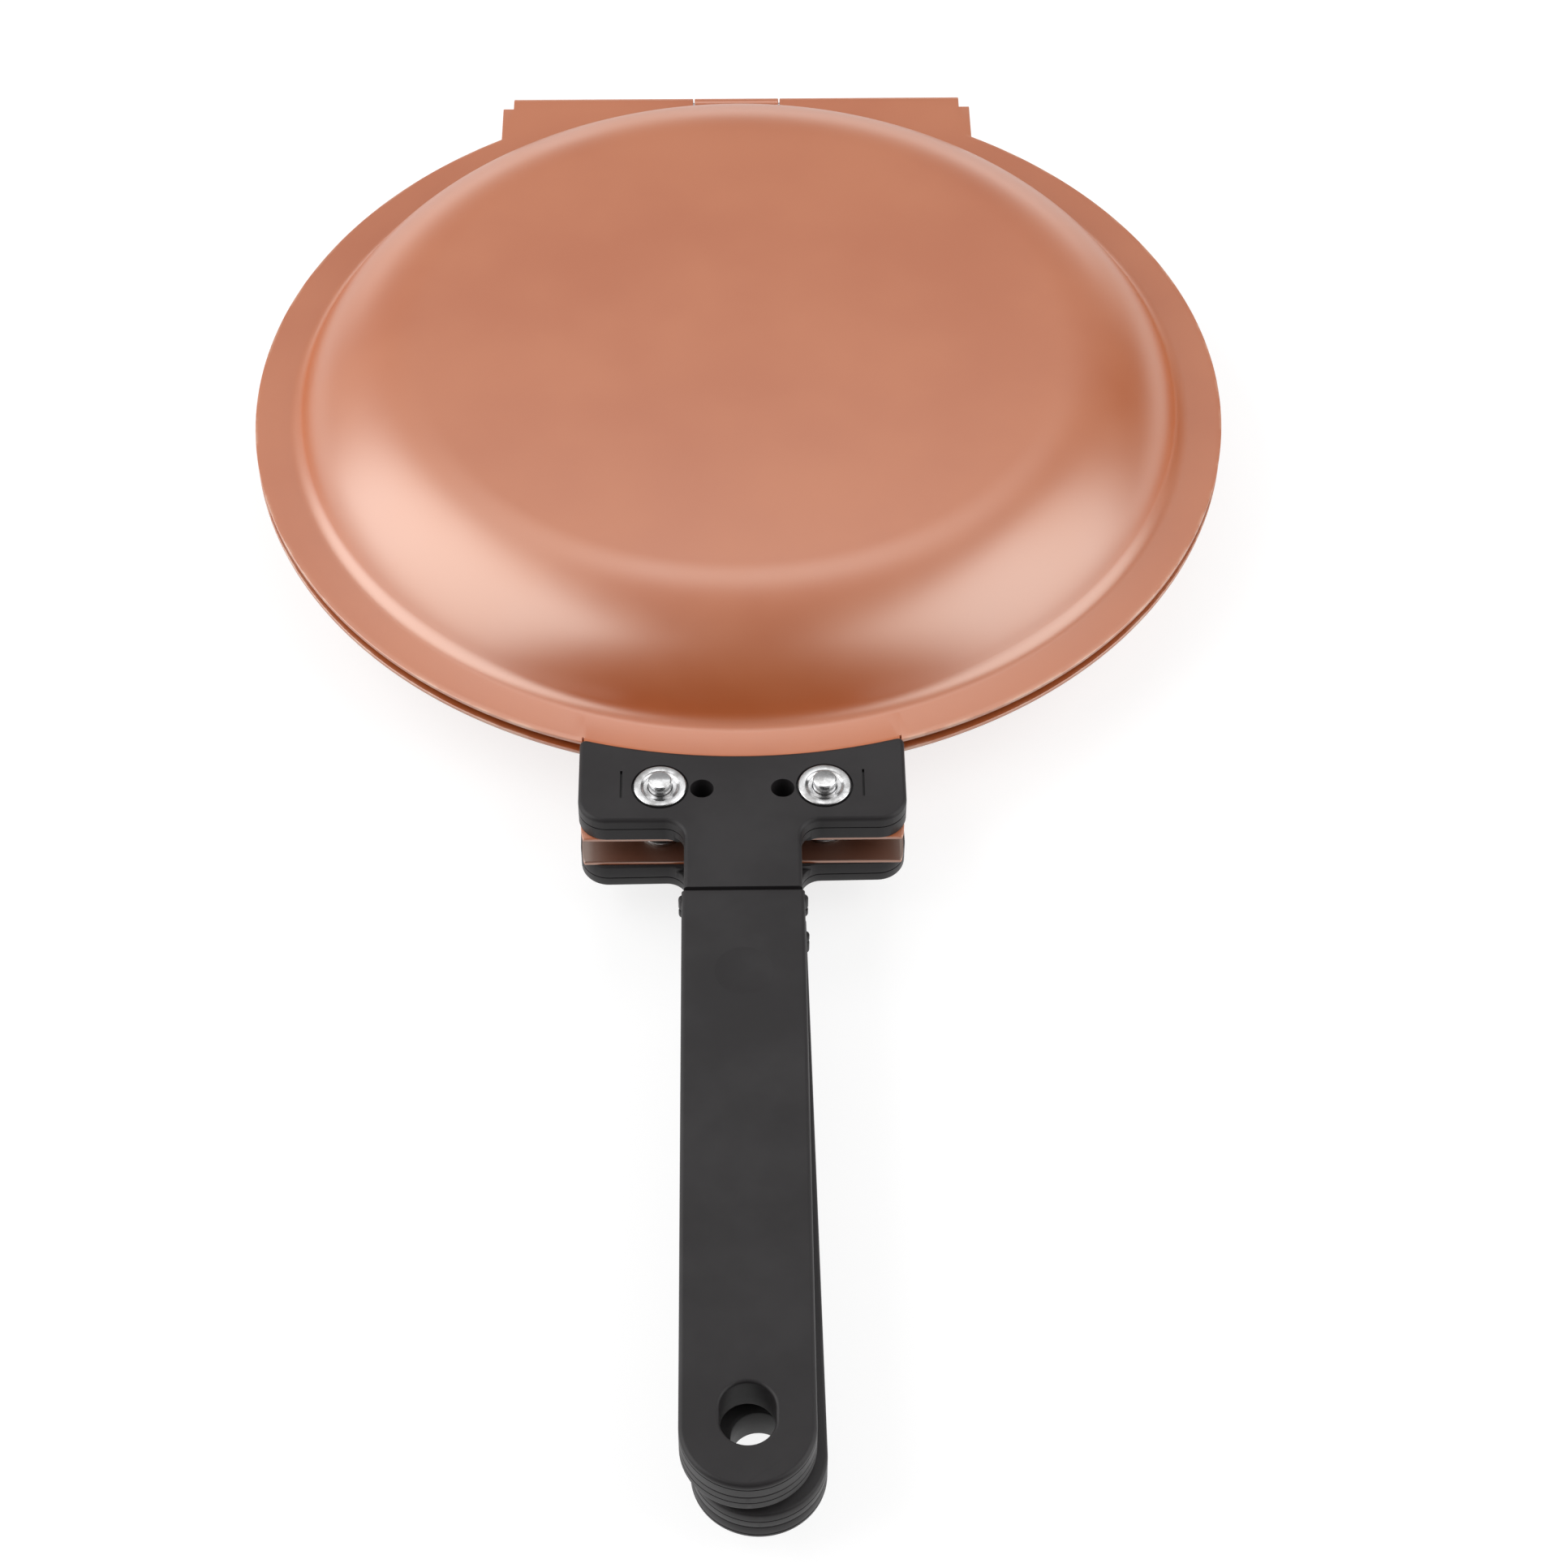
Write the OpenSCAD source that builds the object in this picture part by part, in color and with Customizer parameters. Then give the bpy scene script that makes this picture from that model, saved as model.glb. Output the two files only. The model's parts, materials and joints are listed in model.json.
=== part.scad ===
// Double sided flip pan: two shallow round pans hinged rim to rim, each with its own flat handle.
// Lengths are millimetres. The part stands on the flat base of its lower half, centred on the origin.
// +Z is up, and both handles point towards -Y with the hinge at +Y.
// Each half is built with its inside at the parting plane, so heights run outwards from that plane.
// A derived value named "..._reach" is a distance from the centre of the pan along Y.

/* [Pan halves] */
// Outer diameter of the flat rim
rim_diameter = 190; // [150:1:240]
// Thickness of the pressed sheet
sheet_thickness = 0.8; // [0.5:0.05:1.5]
// Height of one half, from the parting plane up to its flat base
half_height = 18.5; // [14:0.5:28]
// Width of the flat rim
rim_width = 6.4; // [4:0.1:10]
// Outer radius of the arc that runs from the base down to the rim
wall_arc_radius = 26; // [20:0.5:36]
// Outer radius of the fillet between the wall and the rim
foot_fillet_radius = 3.5; // [1:0.5:6]

/* [Hinge] */
// Distance from the edge of the round rim in to the hinge axis
hinge_inset = 1.65; // [0:0.05:6]
// Diameter of the wire pin
pin_diameter = 2; // [1.5:0.1:3]
// Radial clearance between the pin and the rolled knuckles
pin_clearance = 0.05; // [0.01:0.01:0.1]
// How far the bore of the roll rises past the inner face of the rim
roll_offset = 0.1; // [0.05:0.05:0.3]
// Width of the straight tab that carries the knuckles
hinge_tab_width = 100; // [70:1:120]
// Length of the middle knuckle, which belongs to the lower half
middle_knuckle_length = 18; // [12:1:50]
// Gap between neighbouring knuckles
knuckle_side_gap = 0.3; // [0.2:0.05:1]
// Gap between a knuckle and the straight edge of the other half's tab
swing_gap = 0.5; // [0.3:0.05:2]
// Radius of the relief cut beside the end of each outer knuckle
relief_radius = 1; // [0.5:0.1:2]
// Width of the ear that is left outside each relief cut
ear_width = 0.2; // [0.1:0.1:3]
// Open seam where the rolled sheet comes back to the tab
seam_gap = 0.4; // [0.2:0.05:0.8]
// How far the pin stops short of each end of the knuckle line
pin_recess = 0.2; // [0.1:0.05:1]
// Bevel on the ends of the pin
pin_bevel = 0.25; // [0.1:0.05:0.5]

/* [Handle tab] */
// How far the tab that carries the handle is lifted above the rim
tab_lift = 1.85; // [1:0.05:3]
// Distance from the edge of the rim in to the first bend
joggle_inset = 1.2; // [0.5:0.1:3]
// Bend radius of the two bends, on the middle of the sheet
joggle_bend_radius = 4; // [2:0.5:6]
// How far the tab stays inside the outline of the handle head
tab_margin = 0.3; // [0.1:0.1:1]
// Cut between the side of the tab and the rim
tab_slit = 0.3; // [0.2:0.1:1]

/* [Handle head] */
// Width of the head
head_width = 57.6; // [50:0.2:76]
// Gap between the edge of the rim and the curved rear edge of the head, seen from above
head_gap = 5; // [4:0.1:12]
// Length of the head on the centre line, from its rear edge to the front of the lobes
head_length = 15.15; // [13:0.05:24]
// Thickness of the head
head_thickness = 5.3; // [4.6:0.1:9]
// Radius of the outer corners of the lobes
head_corner_radius = 5; // [2:0.5:6]
// Radius of the corners at the rear
head_rear_corner_radius = 1.5; // [0.5:0.1:3]
// Radius between the lobes and the neck
head_fillet_radius = 3.5; // [1:0.5:6]
// Bevel round the outer face of the handle
edge_bevel = 0.8; // [0.2:0.1:1.2]
// Distance between the centre line and each small blind hole
blind_hole_offset = 7.1; // [3:0.1:7.3]
// Diameter of the small blind holes
blind_hole_diameter = 4.1; // [2:0.1:4.4]
// Distance from the rear edge of the head to the middle of the blind holes
blind_hole_setback = 7.9; // [4:0.1:11]
// Depth of the small blind holes
blind_hole_depth = 4.5; // [1:0.1:4.5]
// Distance between the centre line and each thin slot mark
slot_mark_offset = 21.3; // [20:0.1:25]
// Length of the slot marks
slot_mark_length = 6.2; // [2:0.1:9]
// Width of the slot marks
slot_mark_width = 0.4; // [0.2:0.1:1]
// Depth of the slot marks
slot_mark_depth = 0.5; // [0.2:0.1:1]
// Distance from the rear edge of the head to the middle of the slot marks
slot_mark_setback = 6.8; // [5:0.1:9]

/* [Grip] */
// Distance from the edge of the rim to the end of the handle
handle_length = 150; // [110:1:200]
// Width of the grip
grip_width = 21.2; // [17:0.2:30]
// How far the neck is narrower than the grip on each side
neck_inset = 0.4; // [0.2:0.1:2]
// Distance from the front of the lobes to the step where the grip starts
neck_length = 14.65; // [10:0.05:25]
// How much the neck slopes down by the step
neck_slope_drop = 0.3; // [0.1:0.1:0.6]
// How far behind the front of the lobes the neck starts to slope
neck_slope_lead = 1.85; // [0:0.05:4]
// How far the outer face of the grip lies under that of the head
grip_drop = 0.9; // [0.7:0.1:2]
// Gap between the two grips when the pan is shut
grip_gap = 2; // [1:0.1:4]
// How far the seam of the grip lies outside the outer face of the tab
seam_rise = 1; // [0.3:0.1:1.5]
// Bevel on both sides of the seam
seam_bevel = 0.25; // [0.1:0.05:0.5]
// Bevel round the inner face of the cover
cover_bevel = 0.5; // [0.1:0.1:1]
// Gap between the edge of the tab and the front of the inner cover
cover_gap = 0.75; // [0.5:0.05:2]
// Width of the hanging hole
hang_hole_width = 8.6; // [5:0.1:12]
// Length of the hanging hole
hang_hole_length = 10.8; // [9:0.1:20]
// Distance from the end of the handle to the middle of the hanging hole
hang_hole_setback = 12.7; // [10:0.1:20]
// Bevel of the hanging hole
hang_hole_bevel = 0.5; // [0.1:0.1:1]
// Diameter of the plain thumb dimple
dimple_diameter = 10; // [5:0.5:14]
// Depth of the thumb dimple
dimple_depth = 0.4; // [0.2:0.1:1]
// Distance from the step to the middle of the thumb dimple
dimple_setback = 17.7; // [10:0.1:30]
// Radius of the small bead on each side of the grip
bead_radius = 0.9; // [0.6:0.1:1.3]
// How far the beads stand out of the side of the grip
bead_proud = 0.55; // [0.2:0.05:0.8]
// Distance from the step to the middle of the beads
bead_setback = 1.6; // [1:0.1:10]
// Distance from the inner face of the cover to the start of the beads
bead_foot = 2; // [0.6:0.1:3]
// Distance from the end of the beads to the outer face of the grip
bead_top = 0.6; // [0.3:0.1:2]
// Sideways lean of the lower handle, taken up by the slack in the holes of its tab
lower_handle_lean = 0.75; // [0:0.05:1.2]

/* [Fasteners] */
// Distance between the two rivets of a handle
rivet_spacing = 28.9; // [28.6:0.1:30]
// Distance from the rear edge of the head to the rivets
rivet_setback = 7.4; // [7:0.1:9]
// Diameter of the rivet shank
rivet_diameter = 4.1; // [2.5:0.1:5]
// How far the shank stands above the washer
rivet_proud = 1.6; // [0.5:0.1:3]
// Bevel on the end of the shank
rivet_bevel = 0.3; // [0.1:0.05:0.8]
// Diameter of the flat rivet head inside the tab
rivet_head_diameter = 7.8; // [6.5:0.1:10]
// Thickness of the rivet head
rivet_head_thickness = 0.9; // [0.5:0.1:1.5]
// Radial clearance round the shank in the sheet and the handle
rivet_clearance = 0.2; // [0.1:0.05:0.5]
// Diameter of the washer under each shank end
washer_diameter = 9.3; // [7:0.1:9.6]
// Thickness of the washer
washer_thickness = 0.8; // [0.5:0.1:2]
// Bevel of the washer's rim
washer_bevel = 0.3; // [0.1:0.05:0.4]
// Radial clearance between the washer and the shank
washer_clearance = 0.06; // [0.02:0.01:0.3]
// Depth of the round seat that the washer sits in
seat_depth = 0.6; // [0.2:0.1:1.5]
// Radial gap round the washer in its seat
seat_gap = 0.35; // [0.1:0.05:0.5]

/* [Magnets] */
// Diameter of the closing magnet in each handle
magnet_diameter = 10; // [5:0.5:14]
// Depth of the magnet's pocket
magnet_pocket_depth = 2; // [1:0.1:2.5]
// Gap between the two magnets when the pan is shut
magnet_air_gap = 0.3; // [0.1:0.05:1]
// Radial clearance of the magnet in its pocket
magnet_clearance = 0.1; // [0.05:0.05:0.3]
// Bevel of the magnet's edge
magnet_bevel = 0.3; // [0.1:0.1:0.6]
// Distance from the end of the handle to the middle of the magnets
magnet_setback = 33; // [28:1:80]

/* [Colours] */
// Copper coloured coating
copper = [0.77, 0.53, 0.42];
// Dark handle
charcoal = [0.15, 0.15, 0.155];
// Inner cover of the handle
charcoal_inner = [0.13, 0.13, 0.135];
// Bright rivets and washers
bright = [0.86, 0.86, 0.87];
// Wire pin
wire = [0.62, 0.62, 0.64];
// Magnets
nickel = [0.7, 0.7, 0.72];

/* [Hidden] */
$fn = 96;

// How far the two arcs of a step run into each other where they meet
blend_overlap = 0.001;

pin_radius = pin_diameter / 2;
knuckle_bore = pin_radius + pin_clearance;
knuckle_radius = knuckle_bore + sheet_thickness;

rim_radius = rim_diameter / 2;
rim_inner_height = knuckle_bore - roll_offset;
rim_outer_height = rim_inner_height + sheet_thickness;
flat_rim_radius = rim_radius - rim_width;
base_radius = flat_rim_radius - step_run(half_height, rim_outer_height, wall_arc_radius, foot_fillet_radius);

hinge_reach = rim_radius - hinge_inset;
tab_end_reach = hinge_reach - knuckle_radius - swing_gap;
hinge_tab_half = hinge_tab_width / 2;
line_half = hinge_tab_half - ear_width - 2 * relief_radius;
middle_half = middle_knuckle_length / 2;
outer_knuckle_start = middle_half + knuckle_side_gap;

tab_inner_height = rim_inner_height + tab_lift;
tab_outer_height = tab_inner_height + sheet_thickness;
joggle_radius = rim_radius - joggle_inset;
bend_inside = joggle_bend_radius - sheet_thickness / 2;
bend_outside = joggle_bend_radius + sheet_thickness / 2;
joggle_end_radius = joggle_radius + step_run(tab_outer_height, rim_outer_height, bend_outside, bend_inside);

head_half = head_width / 2;
head_rear_radius = rim_radius + head_gap;
head_front_reach = head_rear_radius + head_length;
head_outer_height = tab_outer_height + head_thickness;
blind_hole_reach = head_rear_radius + blind_hole_setback;
slot_mark_reach = head_rear_radius + slot_mark_setback;
tab_half = head_half - tab_margin;
tab_front = head_front_reach - tab_margin;
tab_corner = head_corner_radius - tab_margin;

grip_half = grip_width / 2;
neck_half = grip_half - neck_inset;
neck_slope_reach = head_front_reach - neck_slope_lead;
neck_end_reach = head_front_reach + neck_length;
grip_end_reach = rim_radius + handle_length;
grip_end_centre = grip_end_reach - grip_half;
grip_outer_height = head_outer_height - grip_drop;
grip_inner_height = grip_gap / 2;
seam_height = tab_outer_height + seam_rise;
cover_start = tab_front + cover_gap;
hang_radius = hang_hole_width / 2;
hang_straight = hang_hole_length - hang_hole_width;
hang_hole_reach = grip_end_reach - hang_hole_setback;
dimple_reach = neck_end_reach + dimple_setback;
dimple_sphere = (pow(dimple_diameter / 2, 2) + pow(dimple_depth, 2)) / (2 * dimple_depth);
bead_reach = neck_end_reach + bead_setback;
bead_inner_height = grip_inner_height + bead_foot;
bead_outer_height = grip_outer_height - bead_top;

rivet_half = rivet_spacing / 2;
rivet_reach = head_rear_radius + rivet_setback;
rivet_radius = rivet_diameter / 2;
rivet_hole_radius = rivet_radius + rivet_clearance;
// The holes of the tab leave room for the lean of the lower handle
tab_hole_radius = rivet_hole_radius + rivet_half * sin(lower_handle_lean);
seat_height = head_outer_height - seat_depth;
washer_top = seat_height + washer_thickness;
washer_radius = washer_diameter / 2;

magnet_radius = magnet_diameter / 2;
magnet_face_height = magnet_air_gap / 2;
magnet_floor = grip_inner_height + magnet_pocket_depth;
magnet_reach = grip_end_reach - magnet_setback;
// Overrun of the cutting shapes
over = sheet_thickness;

// Run of a smooth step between two flats: a convex arc from the high one, a concave arc to the low one
function step_run(high, low, convex, concave) =
  sqrt(pow(convex + concave - blend_overlap, 2) - pow(low + concave - high + convex, 2));

// Filled section under such a step, which starts at x = 0, with its skin moved in by the inset
module step_fill(high, low, convex, concave, back, ahead, inset) {
  run = step_run(high, low, convex, concave);
  foot = min(high - convex, 0) - over;
  intersection() {
    union() {
      translate([-back - inset, -inset])
        square([back + inset, high]);
      translate([0, high - convex])
        circle(r = convex - inset);
      difference() {
        polygon([[0, foot], [run, foot], [run, low + concave], [0, high - convex]]);
        translate([run, low + concave])
          circle(r = concave + inset);
      }
      translate([0, -inset])
        square([run + ahead + inset, low]);
    }
    translate([-back - inset, -inset])
      square([back + run + ahead + 2 * inset, high]);
  }
}

// Section of the sheet along such a step
module sheet_step(high, low, convex, concave, back, ahead) {
  difference() {
    step_fill(high, low, convex, concave, back, ahead, 0);
    step_fill(high, low, convex, concave, back, ahead, sheet_thickness);
  }
}

// Straight tab that joins the rim to the knuckles
module hinge_tab() {
  translate([0, 0, rim_inner_height])
    linear_extrude(sheet_thickness)
      difference() {
        translate([-hinge_tab_half, 0])
          square([hinge_tab_width, tab_end_reach]);
        circle(r = flat_rim_radius);
        for (side = [-1, 1])
          translate([side * (line_half + relief_radius), tab_end_reach])
            circle(r = relief_radius);
      }
}

// One rolled knuckle, from x = start over the given length
module knuckle(start, length) {
  translate([start, 0, 0])
    difference() {
      union() {
        translate([0, hinge_reach, 0])
          rotate([0, 90, 0])
            cylinder(r = knuckle_radius, h = length);
        translate([0, tab_end_reach - over, rim_inner_height])
          cube([length, hinge_reach - tab_end_reach + over, sheet_thickness]);
      }
      translate([-over, hinge_reach, 0])
        rotate([0, 90, 0])
          cylinder(r = knuckle_bore, h = length + 2 * over);
      translate([-over, hinge_reach - 2 * knuckle_radius, rim_inner_height - seam_gap])
        cube([length + 2 * over, 2 * knuckle_radius, seam_gap]);
    }
}

// Flat tab under the handle head
module handle_tab_outline() {
  difference() {
    union() {
      translate([-tab_half, -tab_front + tab_corner])
        square([2 * tab_half, tab_front - tab_corner]);
      translate([-tab_half + tab_corner, -tab_front])
        square([2 * (tab_half - tab_corner), tab_front]);
      for (side = [-1, 1])
        translate([side * (tab_half - tab_corner), -tab_front + tab_corner])
          circle(r = tab_corner);
    }
    circle(r = joggle_end_radius);
    for (side = [-1, 1])
      translate([side * rivet_half, -rivet_reach])
        circle(r = tab_hole_radius);
  }
}

// The joggle and the tab, cut to the width of the tab
module handle_tab() {
  intersection() {
    rotate_extrude()
      translate([joggle_end_radius, 0])
        mirror([1, 0])
          sheet_step(tab_outer_height, rim_outer_height, bend_outside, bend_inside, over, over);
    translate([-tab_half, -joggle_end_radius - 2 * over, 0])
      cube([2 * tab_half, joggle_end_radius, half_height]);
  }
  translate([0, 0, tab_inner_height])
    linear_extrude(sheet_thickness)
      handle_tab_outline();
}

// Ring of rim that the handle tab replaces
module tab_window() {
  difference() {
    translate([-tab_half - tab_slit, -2 * rim_radius, 0])
      cube([2 * (tab_half + tab_slit), 2 * rim_radius, rim_outer_height + over]);
    translate([0, 0, -over])
      cylinder(r = joggle_radius, h = rim_outer_height + 3 * over);
  }
}

// One pan half with its rim up from the parting plane; the middle knuckle is on the lower half
module pan_half(has_middle_knuckle) {
  difference() {
    union() {
      rotate_extrude()
        intersection() {
          square([rim_radius, half_height]);
          translate([base_radius, 0])
            sheet_step(half_height, rim_outer_height, wall_arc_radius, foot_fillet_radius,
              base_radius + over, rim_width + over);
        }
      hinge_tab();
    }
    translate([-rim_radius, tab_end_reach, 0])
      cube([2 * rim_radius, rim_radius, half_height]);
    tab_window();
  }
  handle_tab();
  if (has_middle_knuckle) {
    knuckle(-middle_half, 2 * middle_half);
  } else {
    knuckle(outer_knuckle_start, line_half - outer_knuckle_start);
    knuckle(-line_half, line_half - outer_knuckle_start);
  }
}

// Section across a bevelled bar: half width, bottom and top height, bevels at the bottom and the top
module bar_section(half, low, high, low_bevel, high_bevel) {
  polygon([[-half + low_bevel, low], [half - low_bevel, low], [half, low + low_bevel],
    [half, high - high_bevel], [half - high_bevel, high], [-half + high_bevel, high],
    [-half, high - high_bevel], [-half, low + low_bevel]]);
}

// A bevelled bar along Y between two reaches
module bar(half, low, high, low_bevel, high_bevel, near, far) {
  translate([0, -near, 0])
    rotate([90, 0, 0])
      linear_extrude(far - near)
        bar_section(half, low, high, low_bevel, high_bevel);
}

// The half round end of a bevelled bar
module bar_end(half, low, high, low_bevel, high_bevel, reach) {
  translate([0, -reach, 0])
    rotate([0, 0, 180])
      rotate_extrude(angle = 180)
        intersection() {
          bar_section(half, low, high, low_bevel, high_bevel);
          square([half, high]);
        }
}

// Head of the handle before it is cut to the pan
module head_block() {
  // middle of the head, bevelled along the front of the lobes
  translate([-head_half + head_corner_radius, 0, 0])
    rotate([90, 0, 90])
      linear_extrude(2 * (head_half - head_corner_radius))
        polygon([[-head_front_reach, tab_outer_height], [0, tab_outer_height], [0, head_outer_height],
          [-head_front_reach + edge_bevel, head_outer_height],
          [-head_front_reach, head_outer_height - edge_bevel]]);
  bar(head_half, tab_outer_height, head_outer_height, 0, edge_bevel, 0,
    head_front_reach - head_corner_radius);
  for (side = [-1, 1])
    translate([side * (head_half - head_corner_radius), -head_front_reach + head_corner_radius, 0]) {
      translate([0, 0, tab_outer_height])
        cylinder(r = head_corner_radius, h = head_outer_height - tab_outer_height - edge_bevel);
      translate([0, 0, head_outer_height - edge_bevel])
        cylinder(r1 = head_corner_radius, r2 = head_corner_radius - edge_bevel, h = edge_bevel);
    }
}

// Space of the pan in front of the curved rear edge, with its bevel
module head_rear_cut() {
  cylinder(r = head_rear_radius, h = 2 * head_outer_height);
  translate([0, 0, head_outer_height - edge_bevel])
    cylinder(r1 = head_rear_radius, r2 = head_rear_radius + 2 * edge_bevel, h = 2 * edge_bevel);
}

// Rounds one rear corner of the head
module head_rear_corner(side) {
  span = head_rear_radius + head_rear_corner_radius;
  centre_x = head_half - head_rear_corner_radius;
  centre_y = -sqrt(span * span - centre_x * centre_x);
  share = head_rear_radius / span;
  linear_extrude(2 * head_outer_height)
    mirror([side > 0 ? 0 : 1, 0])
      difference() {
        polygon([[centre_x, centre_y], [head_half + over, centre_y], [head_half + over, centre_y + 4 * over],
          [centre_x * share, centre_y * share + over], [centre_x * share, centre_y * share]]);
        translate([centre_x, centre_y])
          circle(r = head_rear_corner_radius);
      }
}

// Filled inner corner between a lobe and the neck
module head_fillet(side) {
  centre_x = neck_half + head_fillet_radius;
  centre_y = -head_front_reach - head_fillet_radius;
  difference() {
    translate([side > 0 ? neck_half - edge_bevel : -centre_x, centre_y, tab_outer_height])
      cube([head_fillet_radius + edge_bevel, head_fillet_radius + edge_bevel,
        head_outer_height - tab_outer_height]);
    translate([side * centre_x, centre_y, 0])
      cylinder(r = head_fillet_radius, h = 2 * head_outer_height);
    translate([side * centre_x, centre_y, head_outer_height - edge_bevel])
      cylinder(r1 = head_fillet_radius, r2 = head_fillet_radius + 2 * edge_bevel, h = 2 * edge_bevel);
  }
}

// Neck with its sloping outer face
module neck() {
  difference() {
    bar(neck_half, tab_outer_height, head_outer_height, 0, edge_bevel, head_front_reach - over,
      neck_end_reach);
    neck_slope_cut();
  }
}

// What is taken off the outer face from the head's front to the end of the neck
module neck_slope_cut() {
  translate([-neck_half - head_fillet_radius, 0, 0])
    rotate([90, 0, 90])
      linear_extrude(2 * (neck_half + head_fillet_radius))
        polygon([[-neck_slope_reach, head_outer_height], [-neck_slope_reach, head_outer_height + over],
          [-neck_end_reach - over, head_outer_height + over],
          [-neck_end_reach - over, head_outer_height - neck_slope_drop],
          [-neck_end_reach, head_outer_height - neck_slope_drop]]);
}

// Hanging hole through one handle piece, with a bevel at the given outer height
module hang_hole(high, direction) {
  translate([0, -hang_hole_reach, 0]) {
    for (side = [-1, 1])
      translate([0, side * hang_straight / 2, 0]) {
        translate([0, 0, -over])
          cylinder(r = hang_radius, h = grip_outer_height + 2 * over);
        translate([0, 0, high])
          mirror([0, 0, direction > 0 ? 1 : 0])
            cylinder(r1 = hang_radius + hang_hole_bevel, r2 = hang_radius, h = hang_hole_bevel);
      }
    translate([-hang_radius, -hang_straight / 2, -over])
      cube([2 * hang_radius, hang_straight, grip_outer_height + 2 * over]);
    translate([0, hang_straight / 2, high])
      mirror([0, 0, direction > 0 ? 1 : 0])
        rotate([90, 0, 0])
          linear_extrude(hang_straight)
            polygon([[-hang_radius - hang_hole_bevel, 0], [hang_radius + hang_hole_bevel, 0],
              [hang_radius, hang_hole_bevel], [-hang_radius, hang_hole_bevel]]);
  }
}

// Small upright beads on both sides of the grip between two heights
module side_beads(low, high) {
  for (side = [-1, 1])
    translate([side * (grip_half + bead_proud - bead_radius), -bead_reach, low])
      cylinder(r = bead_radius, h = high - low);
}

// Outer piece of a handle: head, neck and the outer half of the grip
module handle_piece() {
  difference() {
    union() {
      head_block();
      neck();
      for (side = [-1, 1])
        difference() {
          head_fillet(side);
          neck_slope_cut();
        }
      bar(grip_half, seam_height, grip_outer_height, seam_bevel, edge_bevel, neck_end_reach,
        grip_end_centre);
      bar_end(grip_half, seam_height, grip_outer_height, seam_bevel, edge_bevel, grip_end_centre);
      side_beads(seam_height + seam_bevel, bead_outer_height);
    }
    head_rear_cut();
    for (side = [-1, 1])
      head_rear_corner(side);
    // room for the inner cover under the neck
    translate([-neck_half, -neck_end_reach - over, 0])
      cube([2 * neck_half, neck_end_reach + over - head_front_reach, seam_height]);
    for (side = [-1, 1]) {
      translate([side * rivet_half, -rivet_reach, 0])
        cylinder(r = rivet_hole_radius, h = 2 * head_outer_height);
      translate([side * rivet_half, -rivet_reach, seat_height])
        cylinder(r = washer_radius + seat_gap, h = head_outer_height);
      translate([side * blind_hole_offset, -blind_hole_reach, head_outer_height - blind_hole_depth])
        cylinder(r = blind_hole_diameter / 2, h = head_outer_height);
      translate([side * slot_mark_offset - slot_mark_width / 2, -slot_mark_reach - slot_mark_length / 2,
        head_outer_height - slot_mark_depth])
        cube([slot_mark_width, slot_mark_length, head_outer_height]);
    }
    hang_hole(grip_outer_height, 1);
    translate([0, -dimple_reach, grip_outer_height + dimple_sphere - dimple_depth])
      sphere(r = dimple_sphere);
  }
}

// Inner cover of a handle
module cover_piece() {
  difference() {
    union() {
      bar(neck_half, grip_inner_height, seam_height, cover_bevel, seam_bevel, cover_start,
        neck_end_reach);
      bar(grip_half, grip_inner_height, seam_height, cover_bevel, seam_bevel, neck_end_reach,
        grip_end_centre);
      bar_end(grip_half, grip_inner_height, seam_height, cover_bevel, seam_bevel, grip_end_centre);
      side_beads(bead_inner_height, seam_height - seam_bevel);
    }
    hang_hole(grip_inner_height, -1);
    translate([0, -magnet_reach, 0])
      cylinder(r = magnet_radius + magnet_clearance, h = magnet_floor);
  }
}

// Closing magnet, a short disc
module magnet_piece() {
  translate([0, -magnet_reach, magnet_face_height]) {
    cylinder(r1 = magnet_radius - magnet_bevel, r2 = magnet_radius, h = magnet_bevel);
    translate([0, 0, magnet_bevel])
      cylinder(r = magnet_radius, h = magnet_floor - magnet_face_height - magnet_bevel);
  }
}

// Rivet with its flat head inside the tab
module rivet_piece(side) {
  shank_end = washer_top + rivet_proud;
  translate([side * rivet_half, -rivet_reach, 0]) {
    translate([0, 0, tab_inner_height - rivet_head_thickness])
      cylinder(r1 = rivet_head_diameter / 2 - rivet_bevel, r2 = rivet_head_diameter / 2, h = rivet_bevel);
    translate([0, 0, tab_inner_height - rivet_head_thickness + rivet_bevel])
      cylinder(r = rivet_head_diameter / 2, h = rivet_head_thickness - rivet_bevel);
    translate([0, 0, tab_inner_height])
      cylinder(r = rivet_radius, h = shank_end - tab_inner_height - rivet_bevel);
    translate([0, 0, shank_end - rivet_bevel])
      cylinder(r1 = rivet_radius, r2 = rivet_radius - rivet_bevel, h = rivet_bevel);
  }
}

// Washer in its round seat
module washer_piece(side) {
  translate([side * rivet_half, -rivet_reach, seat_height])
    difference() {
      union() {
        cylinder(r = washer_radius, h = washer_thickness - washer_bevel);
        translate([0, 0, washer_thickness - washer_bevel])
          cylinder(r1 = washer_radius, r2 = washer_radius - washer_bevel, h = washer_bevel);
      }
      translate([0, 0, -over])
        cylinder(r = rivet_radius + washer_clearance, h = washer_thickness + 2 * over);
    }
}

// Places a piece on the upper half
module on_upper() {
  translate([0, 0, half_height])
    children();
}

// Places a piece on the lower half
module on_lower() {
  translate([0, 0, half_height])
    mirror([0, 0, 1])
      children();
}

// Places a piece of the lower handle, leaning sideways about the middle of its rivets
module on_lower_handle() {
  on_lower()
    translate([0, -rivet_reach, 0])
      rotate([0, 0, lower_handle_lean])
        translate([0, rivet_reach, 0])
          children();
}

module lower_pan() {
  color(copper)
    on_lower()
      pan_half(true);
}

module upper_pan() {
  color(copper)
    on_upper()
      pan_half(false);
}

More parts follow.
